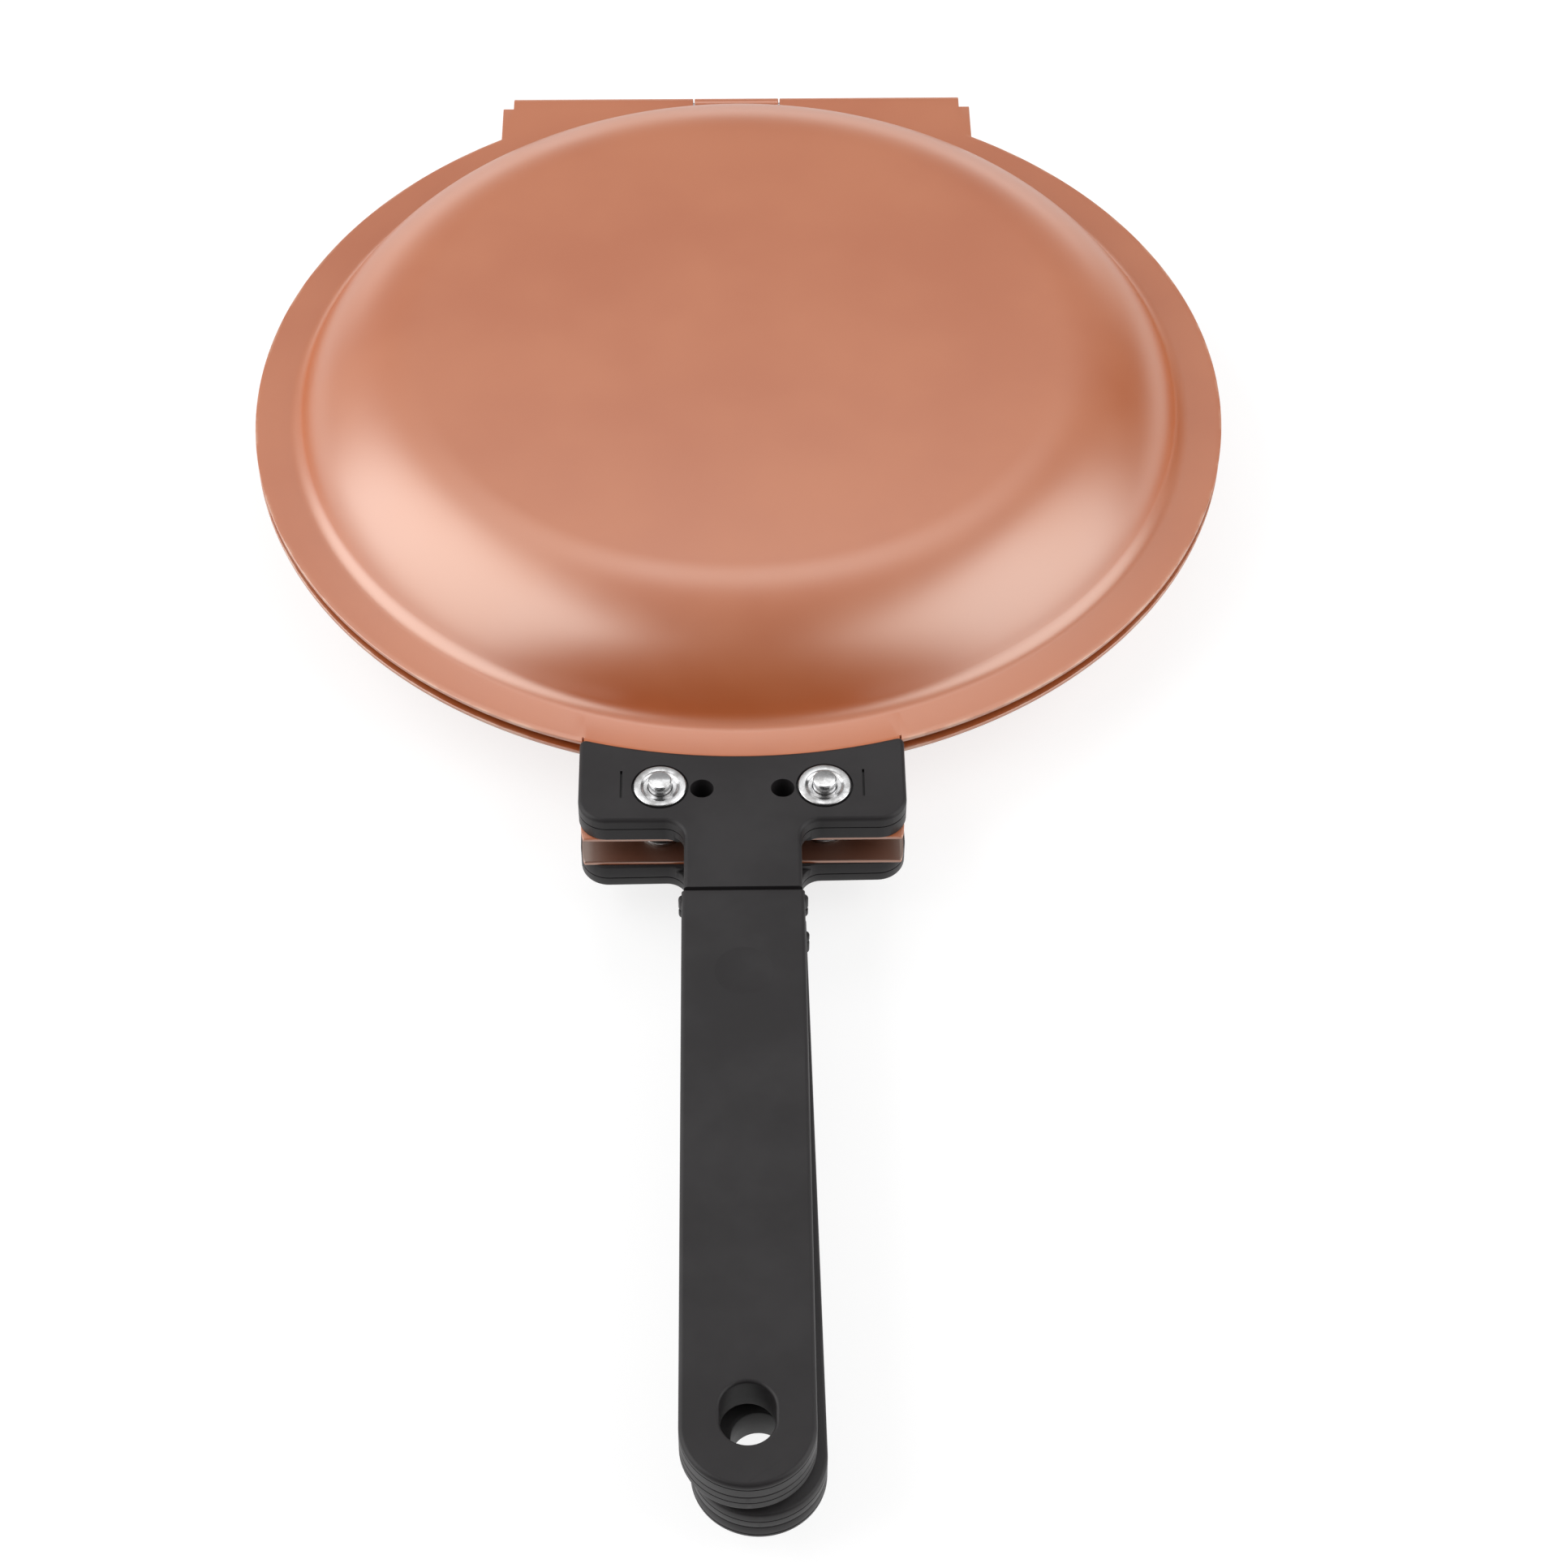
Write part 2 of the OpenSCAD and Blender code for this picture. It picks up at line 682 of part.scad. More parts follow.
module hinge_pin() {
  pin_half = line_half - pin_recess;
  color(wire)
    translate([0, hinge_reach, half_height])
      rotate([0, 90, 0]) {
        translate([0, 0, -pin_half + pin_bevel])
          cylinder(r = pin_radius, h = 2 * (pin_half - pin_bevel));
        for (side = [0, 1])
          mirror([0, 0, side])
            translate([0, 0, pin_half - pin_bevel])
              cylinder(r1 = pin_radius, r2 = pin_radius - pin_bevel, h = pin_bevel);
      }
}

module lower_handle() {
  color(charcoal)
    on_lower_handle()
      handle_piece();
}

module lower_handle_cover() {
  color(charcoal_inner)
    on_lower_handle()
      cover_piece();
}

module lower_magnet() {
  color(nickel)
    on_lower_handle()
      magnet_piece();
}

module lower_rivet_left() {
  color(bright)
    on_lower_handle()
      rivet_piece(-1);
}

module lower_rivet_right() {
  color(bright)
    on_lower_handle()
      rivet_piece(1);
}

module lower_washer_left() {
  color(bright)
    on_lower_handle()
      washer_piece(-1);
}

module lower_washer_right() {
  color(bright)
    on_lower_handle()
      washer_piece(1);
}

module upper_handle() {
  color(charcoal)
    on_upper()
      handle_piece();
}

module upper_handle_cover() {
  color(charcoal_inner)
    on_upper()
      cover_piece();
}

module upper_magnet() {
  color(nickel)
    on_upper()
      magnet_piece();
}

module upper_rivet_left() {
  color(bright)
    on_upper()
      rivet_piece(-1);
}

module upper_rivet_right() {
  color(bright)
    on_upper()
      rivet_piece(1);
}

module upper_washer_left() {
  color(bright)
    on_upper()
      washer_piece(-1);
}

module upper_washer_right() {
  color(bright)
    on_upper()
      washer_piece(1);
}

lower_pan();
upper_pan();
hinge_pin();
lower_handle();
lower_handle_cover();
lower_magnet();
lower_rivet_left();
lower_rivet_right();
lower_washer_left();
lower_washer_right();
upper_handle();
upper_handle_cover();
upper_magnet();
upper_rivet_left();
upper_rivet_right();
upper_washer_left();
upper_washer_right();
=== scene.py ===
"""Dresses a double sided flip pan: its coated sheet, moulded handles and fastenings, with the light and the camera."""

from __future__ import annotations

import json
import logging
import math
from dataclasses import dataclass, field
from enum import Enum
from typing import Any, Callable

import bmesh
import bpy
from mathutils import Matrix, Vector

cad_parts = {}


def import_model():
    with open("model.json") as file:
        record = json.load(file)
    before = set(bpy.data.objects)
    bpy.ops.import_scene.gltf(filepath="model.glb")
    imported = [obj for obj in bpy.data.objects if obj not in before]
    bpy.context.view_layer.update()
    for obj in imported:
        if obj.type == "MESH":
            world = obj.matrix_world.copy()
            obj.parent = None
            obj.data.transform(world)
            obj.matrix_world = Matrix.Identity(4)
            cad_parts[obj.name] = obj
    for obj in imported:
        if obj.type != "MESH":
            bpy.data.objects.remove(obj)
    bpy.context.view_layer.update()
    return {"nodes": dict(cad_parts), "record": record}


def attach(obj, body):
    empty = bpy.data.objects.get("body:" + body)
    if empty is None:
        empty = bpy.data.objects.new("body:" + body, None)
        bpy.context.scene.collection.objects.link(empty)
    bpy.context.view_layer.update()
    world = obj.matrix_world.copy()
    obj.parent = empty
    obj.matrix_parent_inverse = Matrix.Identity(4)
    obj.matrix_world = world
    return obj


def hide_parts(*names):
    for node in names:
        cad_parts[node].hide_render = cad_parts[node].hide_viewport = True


LOG = logging.getLogger("flip_pan")
MM = 0.001
NEAR = 0.01 * MM
CUT_MERGE = 0.001 * MM
TIDY_MERGE = 0.002 * MM
SHARP_DEGREES = 40.0
SQUARE_DEGREES = 60.0
HANDS = (-1.0, 1.0)

Pair = tuple[float, float]
Triple = tuple[float, float, float]
Colour = tuple[float, float, float, float]
Piece = bpy.types.Object
Edge = bmesh.types.BMEdge
Socket = bpy.types.NodeSocket


class Side(Enum):
    """The two halves of the shut pan."""

    LOWER = "lower"
    UPPER = "upper"

    @property
    def body(self) -> str:
        """The moving body that this half's pieces ride on."""
        return f"{self.value}_half"


class Coating(Enum):
    """The record's material slots."""

    PAN = "pan_coating"
    HANDLE = "handle"
    COVER = "handle_cover"
    RIVET = "rivet"
    WASHER = "washer"
    PIN = "pin_wire"
    MAGNET = "magnet"


class Part(Enum):
    """What a mesh is selected by."""

    CORNER = "VERT"
    EDGE = "EDGE"
    FACE = "FACE"


def linear(red: int, green: int, blue: int) -> Colour:
    """Turns a display colour into the linear one that a shader takes.

    Args:
        red: Display red, 0 to 255.
        green: Display green, 0 to 255.
        blue: Display blue, 0 to 255.

    Returns:
        Linear red, green, blue and full alpha.
    """
    def channel(value: int) -> float:
        """One display channel in linear light."""
        share = value / 255
        return share / 12.92 if share <= 0.04045 else ((share + 0.055) / 1.055) ** 2.4

    return channel(red), channel(green), channel(blue), 1.0


class NodeBoard:
    """A board of shader nodes that are added, set and wired by name."""

    def __init__(self, tree: bpy.types.NodeTree) -> None:
        """Starts an empty board on the node tree of a material or of the world."""
        self.tree = tree
        tree.nodes.clear()

    def add(self, kind: str, values: dict | None = None, **settings: object) -> bpy.types.Node:
        """Adds a node.

        Args:
            kind: The node's type name without its ShaderNode start.
            values: Plain values and other nodes' sockets for its inputs, by input name or index.
            **settings: Properties of the node itself.

        Returns:
            The new node.
        """
        node = self.tree.nodes.new(f"ShaderNode{kind}")
        for name, value in settings.items():
            setattr(node, name, value)
        for name, value in (values or {}).items():
            if isinstance(value, Socket):
                self.tree.links.new(value, node.inputs[name])
            else:
                node.inputs[name].default_value = value
        return node

    def math(self, operation: str, first: object, second: object = 0.0) -> Socket:
        """Works out one sum, such as MULTIPLY, of two sockets or numbers."""
        return self.add("Math", {0: first, 1: second}, operation=operation).outputs[0]

    def ramp(self, value: Socket, low: float, high: float, start: float = 0.0, end: float = 1.0) -> Socket:
        """Maps a value smoothly from one span to another.

        Args:
            value: The socket that is read.
            low: The value that gives start.
            high: The value that gives end.
            start: The result at low.
            end: The result at high.

        Returns:
            The mapped value's socket.
        """
        spans = {"Value": value, "From Min": low, "From Max": high, "To Min": start, "To Max": end}
        return self.add("MapRange", spans, interpolation_type="SMOOTHSTEP").outputs["Result"]

    def noise(self, place: Socket, scale: float, detail: float = 2.0, roughness: float = 0.5) -> Socket:
        """Adds a cloudy pattern.

        Args:
            place: The coordinates that it is laid on, in metres.
            scale: How many blobs fit in a metre.
            detail: How many finer layers it has.
            roughness: How strong the finer layers are.

        Returns:
            The pattern's value, from 0 to 1.
        """
        values = {"Vector": place, "Scale": scale, "Detail": detail, "Roughness": roughness}
        return self.add("TexNoise", values).outputs["Fac"]

    def blend(self, share: Socket, first: object, second: object) -> Socket:
        """Mixes two colours or sockets, where share is how much of the second shows."""
        return self.add("Mix", {0: share, 6: first, 7: second}, data_type="RGBA").outputs[2]

    def bump(self, height: Socket, strength: float, depth: float) -> Socket:
        """Turns a pattern from 0 to 1 into a relief of a depth in metres."""
        return self.add("Bump", {"Height": height, "Strength": strength, "Distance": depth}).outputs["Normal"]


@dataclass(frozen=True)
class Finish:
    """What every finish of the pan has: patches of two colours and glosses, and a fine grain over them."""

    name: str
    first: Colour
    second: Colour
    patch_scale: float
    patch_layers: Pair
    colour_span: Pair
    gloss_span: Pair
    gloss: Pair
    grain_scale: float
    grain_layers: Pair
    grain_strength: float
    grain_depth: float
    refraction: float = 1.5
    metallic: float = 0.0

    def values(self, board: NodeBoard, place: Socket) -> dict:
        """Lays out the finish's patterns.

        Args:
            board: The material's nodes.
            place: Object coordinates, in metres.

        Returns:
            The Principled shader's plain values and sockets, by input name.
        """
        patch = board.noise(place, self.patch_scale, *self.patch_layers)
        grain = board.noise(place, self.grain_scale, *self.grain_layers)
        return {"Metallic": self.metallic, "IOR": self.refraction,
                "Base Color": board.blend(board.ramp(patch, *self.colour_span), self.first, self.second),
                "Roughness": board.ramp(patch, *self.gloss_span, *self.gloss),
                "Normal": board.bump(grain, self.grain_strength, self.grain_depth)}

    def material(self) -> bpy.types.Material:
        """Builds the finish as a material.

        Returns:
            The new material.
        """
        made = bpy.data.materials.new(self.name)
        made.use_nodes = True
        board = NodeBoard(made.node_tree)
        shader = board.add("BsdfPrincipled", self.values(board, board.add("TexCoord").outputs["Object"]))
        board.add("OutputMaterial", {"Surface": shader.outputs[0]})
        return made


@dataclass(frozen=True)
class CopperCoating(Finish):
    """A sprayed satin coating with a fine orange peel, a little wear on the rim, and painted shade on the tabs' inner
    faces in the gap between them.
    """

    name: str = "copper_coating"
    first: Colour = linear(181, 90, 39)
    second: Colour = linear(186, 96, 43)
    patch_scale: float = 28.0
    patch_layers: Pair = (4.0, 0.55)
    colour_span: Pair = (0.3, 0.7)
    gloss_span: Pair = (0.25, 0.75)
    gloss: Pair = (0.33, 0.39)
    grain_scale: float = 2600.0
    grain_layers: Pair = (2.0, 0.5)
    grain_strength: float = 0.25
    grain_depth: float = 0.00002
    refraction: float = 2.7
    gloss_tint: Colour = (1.0, 0.97, 0.9, 1.0)
    worn: Colour = linear(222, 176, 150)
    rim_radius: float = 95.0 * MM
    wear_width: float = 0.7 * MM
    wear_share: float = 0.5
    wear_scale: float = 160.0
    wear_detail: float = 3.0
    wear_span: Pair = (0.42, 0.62)
    wear_back: Pair = (80.0 * MM, 82.0 * MM)
    # Painted shade: a dark brown laid on the tabs' inner faces, standing in for the shadow in the gap between the two
    # tabs.
    painted_gap_shade: Colour = linear(92, 44, 20)
    gap_shade_level: float = 18.5 * MM
    gap_shade_reach: Pair = (2.85 * MM, 3.0 * MM)
    gap_shade_start: Pair = (-101.0 * MM, -97.0 * MM)

    def values(self, board: NodeBoard, place: Socket) -> dict:
        """Adds the rim's wear and the painted shade between the tabs to the coating's colour.

        Args:
            board: The material's nodes.
            place: Object coordinates, in metres.

        Returns:
            The Principled shader's plain values and sockets, by input name.
        """
        values = super().values(board, place)
        flat = board.add("VectorMath", {0: place, 1: (1.0, 1.0, 0.0)}, operation="MULTIPLY").outputs[0]
        reach = board.add("VectorMath", {0: flat}, operation="LENGTH").outputs["Value"]
        split = board.add("SeparateXYZ", {0: place}).outputs
        edge = board.math("MULTIPLY", board.ramp(reach, self.rim_radius - self.wear_width, self.rim_radius),
                          board.ramp(reach, self.rim_radius, self.rim_radius + self.wear_width / 2, 1.0, 0.0))
        patch = board.math("MULTIPLY", board.ramp(board.noise(place, self.wear_scale, self.wear_detail),
                                                  *self.wear_span),
                           board.ramp(split["Y"], *self.wear_back, 1.0, 0.0))
        worn = board.math("MULTIPLY", edge, board.math("MULTIPLY", patch, self.wear_share))
        # Painted shade: darkens the colour on the tabs' inner faces near the parting plane at the front, where the gap
        # between the tabs lies in shadow.
        away = board.math("ABSOLUTE", board.math("SUBTRACT", split["Z"], self.gap_shade_level))
        gap_shade_mask = board.math("MULTIPLY", board.ramp(away, *self.gap_shade_reach, 1.0, 0.0),
                           board.ramp(split["Y"], *self.gap_shade_start, 1.0, 0.0))
        colour = board.blend(gap_shade_mask, board.blend(worn, values["Base Color"], self.worn), self.painted_gap_shade)
        return values | {"Base Color": colour, "Specular Tint": self.gloss_tint}


@dataclass(frozen=True)
class MouldedPlastic(Finish):
    """A dark moulded plastic with a fine matte grain and slightly rubbed patches."""

    name: str = "moulded_plastic"
    first: Colour = linear(38, 36, 37)
    second: Colour = linear(43, 41, 42)
    patch_scale: float = 55.0
    patch_layers: Pair = (4.0, 0.6)
    colour_span: Pair = (0.35, 0.7)
    gloss_span: Pair = (0.3, 0.7)
    gloss: Pair = (0.5, 0.4)
    grain_scale: float = 3800.0
    grain_layers: Pair = (3.0, 0.6)
    grain_strength: float = 0.3
    grain_depth: float = 0.000035
    refraction: float = 1.37


@dataclass(frozen=True)
class BrightMetal(Finish):
    """A bright soft metal, with faint scratches and duller smudges."""

    name: str = "bright_metal"
    first: Colour = linear(216, 216, 217)
    second: Colour = linear(168, 167, 166)
    patch_scale: float = 420.0
    patch_layers: Pair = (3.0, 0.6)
    colour_span: Pair = (0.4, 0.75)
    gloss_span: Pair = (0.3, 0.75)
    gloss: Pair = (0.13, 0.24)
    grain_scale: float = 5200.0
    grain_layers: Pair = (2.0, 0.5)
    grain_strength: float = 0.2
    grain_depth: float = 0.000012
    metallic: float = 1.0


@dataclass(frozen=True)
class DrawnWire(BrightMetal):
    """Steel wire with fine lines along its length, which is the X axis."""

    name: str = "drawn_wire"
    first: Colour = linear(196, 197, 199)
    second: Colour = linear(160, 160, 163)
    line_scale: Triple = (0.02, 1.0, 1.0)

    def values(self, board: NodeBoard, place: Socket) -> dict:
        """Stretches the metal's patterns along the wire."""
        drawn = board.add("Mapping", {"Vector": place, "Scale": self.line_scale})
        return super().values(board, drawn.outputs["Vector"])


class Bench:
    """The tools that every piece is made with, in the order that a modeller uses them by hand."""

    @staticmethod
    def rest() -> None:
        """Leaves edit mode and lets go of everything."""
        if bpy.context.mode != "OBJECT":
            bpy.ops.object.mode_set(mode="OBJECT")
        bpy.ops.object.select_all(action="DESELECT")

    @staticmethod
    def take(piece: Piece) -> None:
        """Selects one piece alone and makes it the active one.

        Args:
            piece: The piece.
        """
        Bench.rest()
        piece.select_set(True)
        bpy.context.view_layer.objects.active = piece

    @staticmethod
    def open(piece: Piece) -> None:
        """Takes a piece into edit mode."""
        Bench.take(piece)
        bpy.ops.object.mode_set(mode="EDIT")

    @staticmethod
    def close() -> None:
        """Leaves edit mode with the piece still in hand."""
        bpy.ops.object.mode_set(mode="OBJECT")

    @staticmethod
    def everything() -> None:
        """Selects the whole mesh in hand."""
        bpy.ops.mesh.select_all(action="SELECT")

    @staticmethod
    def new(name: str) -> Piece:
        """Names the primitive just added and puts its place in its mesh.

        Args:
            name: The piece's name.

        Returns:
            The piece, at the origin, in edit mode.
        """
        piece = bpy.context.object
        piece.name = piece.data.name = name
        Bench.take(piece)
        bpy.ops.object.transform_apply(location=True, rotation=True, scale=True)
        bpy.ops.object.mode_set(mode="EDIT")
        return piece

    @staticmethod
    def plate(name: str, low: Pair, high: Pair, level: float) -> Piece:
        """Starts a piece from a flat rectangle.

        Args:
            name: The piece's name.
            low: Its least X and Y.
            high: Its greatest X and Y.
            level: Its height.

        Returns:
            The piece, in edit mode.
        """
        Bench.rest()
        centre = ((low[0] + high[0]) / 2, (low[1] + high[1]) / 2, level)
        bpy.ops.mesh.primitive_plane_add(size=1.0, location=centre)
        piece = Bench.new(name)
        Bench.everything()
        bpy.ops.transform.resize(value=(high[0] - low[0], high[1] - low[1], 1.0), center_override=centre)
        return piece

    @staticmethod
    def disc(name: str, centre: Triple, radius: float, count: int) -> Piece:
        """Starts a piece from a filled circle, turned by half a step so that its sides stay square to X.

        Args:
            name: The piece's name.
            centre: Its centre.
            radius: Its radius.
            count: How many corners it has.

        Returns:
            The piece, in edit mode.
        """
        Bench.rest()
        bpy.ops.mesh.primitive_circle_add(vertices=count, radius=radius, fill_type="NGON", location=centre,
                                          rotation=(0.0, 0.0, math.pi / count))
        return Bench.new(name)

    @staticmethod
    def pick(kind: Part, test: Callable[[Any], bool]) -> int:
        """Selects the parts of the mesh in hand that pass a test, and only those.

        Args:
            kind: Corners, edges or faces.
            test: Says of one part whether it is wanted.

        Returns:
            How many were found.
        """
        bpy.ops.mesh.select_mode(type=kind.value)
        bpy.ops.mesh.select_all(action="DESELECT")
        mesh = bpy.context.object.data
        grid = bmesh.from_edit_mesh(mesh)
        found = [part for part in {Part.CORNER: grid.verts, Part.EDGE: grid.edges, Part.FACE: grid.faces}[kind]
                 if test(part)]
        for part in found:
            part.select = True
        grid.select_flush_mode()
        bmesh.update_edit_mesh(mesh)
        return len(found)

    @staticmethod
    def extrude(height: float) -> None:
        """Pulls what is selected straight up."""
        bpy.ops.mesh.extrude_region_move(TRANSFORM_OT_translate={"value": (0.0, 0.0, height)})

    @staticmethod
    def draw_out(step: Triple) -> None:
        """Pulls new faces out of the selected edges by one step and leaves the far edges selected."""
        bpy.ops.mesh.extrude_edges_move(TRANSFORM_OT_translate={"value": step})

    @staticmethod
    def settle(rule: Callable[[Vector], Triple]) -> None:
        """Moves each selected corner to where a rule puts it.

        Args:
            rule: Gives a corner's new place from its old one.
        """
        mesh = bpy.context.object.data
        grid = bmesh.from_edit_mesh(mesh)
        for corner in grid.verts:
            if corner.select:
                corner.co = rule(corner.co)
        bmesh.update_edit_mesh(mesh)

    @staticmethod
    def split_at(place: Triple, normal: Triple, clear: bool = False) -> None:
        """Cuts what is selected along a plane and keeps both sides, or closes the near one and clears the far one."""
        bpy.ops.mesh.bisect(plane_co=place, plane_no=normal, use_fill=clear, clear_inner=False, clear_outer=clear,
                            threshold=CUT_MERGE)

    @staticmethod
    def round_corners(half: float, line: float, radius: float, steps: int) -> None:
        """Rounds the left and the right corner of a flat outline.

        Args:
            half: The corners' distance from the middle.
            line: The corners' Y.
            radius: The radius.
            steps: How many edges each round has.
        """
        Bench.pick(Part.CORNER, lambda corner: math.hypot(abs(corner.co.x) - half, corner.co.y - line) < NEAR)
        bpy.ops.mesh.bevel(offset_type="OFFSET", offset=radius, segments=steps, profile=0.5, affect="VERTICES",
                           clamp_overlap=False)

    @staticmethod
    def soften(test: Callable[[Edge], bool], width: float, steps: int, hold: bool = True) -> None:
        """Rounds over the edges that pass a test.

        Args:
            test: Says of one edge whether it is rounded.
            width: How far the round reaches.
            steps: How many faces it has.
            hold: Whether the round is kept from running over its neighbours.
        """
        if Bench.pick(Part.EDGE, test):
            bpy.ops.mesh.bevel(offset_type="OFFSET", offset=width, segments=steps, profile=0.5, affect="EDGES",
                               clamp_overlap=hold)

    @staticmethod
    def modify(piece: Piece, kind: str, **settings: object) -> None:
        """Adds a modifier, sets it and applies it.

        Args:
            piece: The piece.
            kind: The modifier's type.
            **settings: Its values.
        """
        Bench.take(piece)
        bpy.ops.object.modifier_add(type=kind)
        modifier = piece.modifiers[-1]
        for name, value in settings.items():
            setattr(modifier, name, value)
        bpy.ops.object.modifier_apply(modifier=modifier.name)

    @staticmethod
    def round_all(piece: Piece, width: float, steps: int, degrees: float) -> None:
        """Rounds every edge of a piece that turns by more than so many degrees."""
        Bench.modify(piece, "BEVEL", width=width, segments=steps, limit_method="ANGLE",
                     angle_limit=math.radians(degrees), use_clamp_overlap=True)

    @staticmethod
    def combine(piece: Piece, operation: str, *others: Piece) -> None:
        """Takes other closed shapes out of a piece or joins them to it, and throws them away.

        Args:
            piece: The piece.
            operation: DIFFERENCE or UNION.
            *others: The other shapes.
        """
        Bench.rest()
        for other in others:
            Bench.modify(piece, "BOOLEAN", operation=operation, solver="EXACT", object=other)
            bpy.data.objects.remove(other)

    @staticmethod
    def side_groove(piece: Piece, level: float, width: float = 0.24 * MM, depth: float = 0.16 * MM) -> None:
        """Sinks a narrow groove into the upright sides of a piece, all the way round.

        Args:
            piece: The piece.
            level: The groove's middle height.
            width: Its width.
            depth: Its depth.
        """
        Bench.open(piece)
        for place in (level - width / 2, level + width / 2):
            Bench.everything()
            Bench.split_at((0.0, 0.0, place), (0.0, 0.0, 1.0))
        Bench.pick(Part.FACE, lambda face: abs(face.normal.z) < 0.5
                   and abs(face.calc_center_median().z - level) < width / 2)
        bpy.ops.mesh.extrude_region_shrink_fatten(
            TRANSFORM_OT_shrink_fatten={"value": -depth, "use_even_offset": True})
        Bench.close()

    @staticmethod
    def cap(centre: Pair, level: float, radius: float, depth: float) -> Piece:
        """Makes a cutter for a shallow round hollow in a level face.

        Args:
            centre: The hollow's X and Y.
            level: The face's height.
            radius: The hollow's radius in the face.
            depth: Its depth in the middle.

        Returns:
            The cutter.
        """
        ball = (radius ** 2 + depth ** 2) / (2 * depth)
        Bench.rest()
        bpy.ops.mesh.primitive_uv_sphere_add(segments=72, ring_count=120, radius=ball,
                                             location=(*centre, level + ball - depth))
        piece = Bench.new("cutter")
        Bench.everything()
        Bench.split_at((*centre, level + depth), (0.0, 0.0, 1.0), clear=True)
        Bench.tidy(piece)
        return piece

    @staticmethod
    def peg(centre: Pair, radius: float, low: float, high: float, stretch: float = 0.0, count: int = 64) -> Piece:
        """Makes an upright round or oblong cutter.

        Args:
            centre: Its X and Y.
            radius: Its radius.
            low: Its lowest height.
            high: Its greatest height.
            stretch: How much longer than round it is along Y.
            count: How many corners it has.

        Returns:
            The cutter.
        """
        piece = Bench.disc("cutter", (*centre, low), radius, count)
        if stretch:
            for way in HANDS:
                Bench.pick(Part.CORNER, lambda corner, way=way: (corner.co.y - centre[1]) * way > 0.0)
                bpy.ops.transform.translate(value=(0.0, way * stretch / 2, 0.0))
        Bench.everything()
        Bench.extrude(high - low)
        Bench.tidy(piece)
        return piece

    @staticmethod
    def block(low: Triple, high: Triple) -> Piece:
        """Makes a box-shaped cutter between two corners.

        Args:
            low: Its lowest corner.
            high: Its highest corner.

        Returns:
            The cutter.
        """
        piece = Bench.plate("cutter", low[:2], high[:2], low[2])
        Bench.extrude(high[2] - low[2])
        Bench.tidy(piece)
        return piece

    @staticmethod
    def tidy(piece: Piece) -> None:
        """Merges doubled corners, turns every face outwards and leaves edit mode.

        Args:
            piece: The piece.
        """
        if bpy.context.mode == "OBJECT":
            Bench.open(piece)
        Bench.everything()
        bpy.ops.mesh.remove_doubles(threshold=TIDY_MERGE)
        bpy.ops.mesh.normals_make_consistent(inside=False)
        Bench.close()

    @staticmethod
    def smooth(piece: Piece, degrees: float) -> None:
        """Shades a piece smooth, with creases where it turns sharply.

        Args:
            piece: The piece.
            degrees: The angle that makes a crease.
        """
        Bench.take(piece)
        bpy.ops.object.shade_smooth_by_angle(angle=math.radians(degrees))
        Bench.rest()

    @staticmethod
    def turn_over(piece: Piece, level: float) -> None:
        """Mirrors a finished piece through a level plane, for the other half of the pan.

        Args:
            piece: The piece.
            level: The plane's height.
        """
        Bench.open(piece)
        Bench.everything()
        bpy.ops.transform.resize(value=(1.0, 1.0, -1.0), center_override=(0.0, 0.0, level))
        bpy.ops.mesh.flip_normals()
        Bench.close()

    @staticmethod
    def lean(piece: Piece, pivot: Triple, degrees: float) -> None:
        """Turns a finished piece about an upright line.

        Args:
            piece: The piece.
            pivot: A point on the line.
            degrees: How far it turns, from +X towards +Y.
        """
        Bench.open(piece)
        Bench.everything()
        turned = Matrix.Rotation(math.radians(degrees), 3, "Z")
        base = Vector(pivot)
        Bench.settle(lambda place: tuple(base + turned @ (place - base)))
        Bench.close()


def turns_sharply(edge: Edge) -> bool:
    """Whether an edge has two faces that turn by more than the angle of a sharp edge."""
    return len(edge.link_faces) == 2 and edge.calc_face_angle() > math.radians(SHARP_DEGREES)


def along_x(edge: Edge, line: float) -> bool:
    """Whether an edge runs across the pan at one Y."""
    return all(abs(corner.co.y - line) < NEAR for corner in edge.verts)


def at_level(edge: Edge, level: float) -> bool:
    """Whether an edge lies at one height."""
    return all(abs(corner.co.z - level) < NEAR for corner in edge.verts)


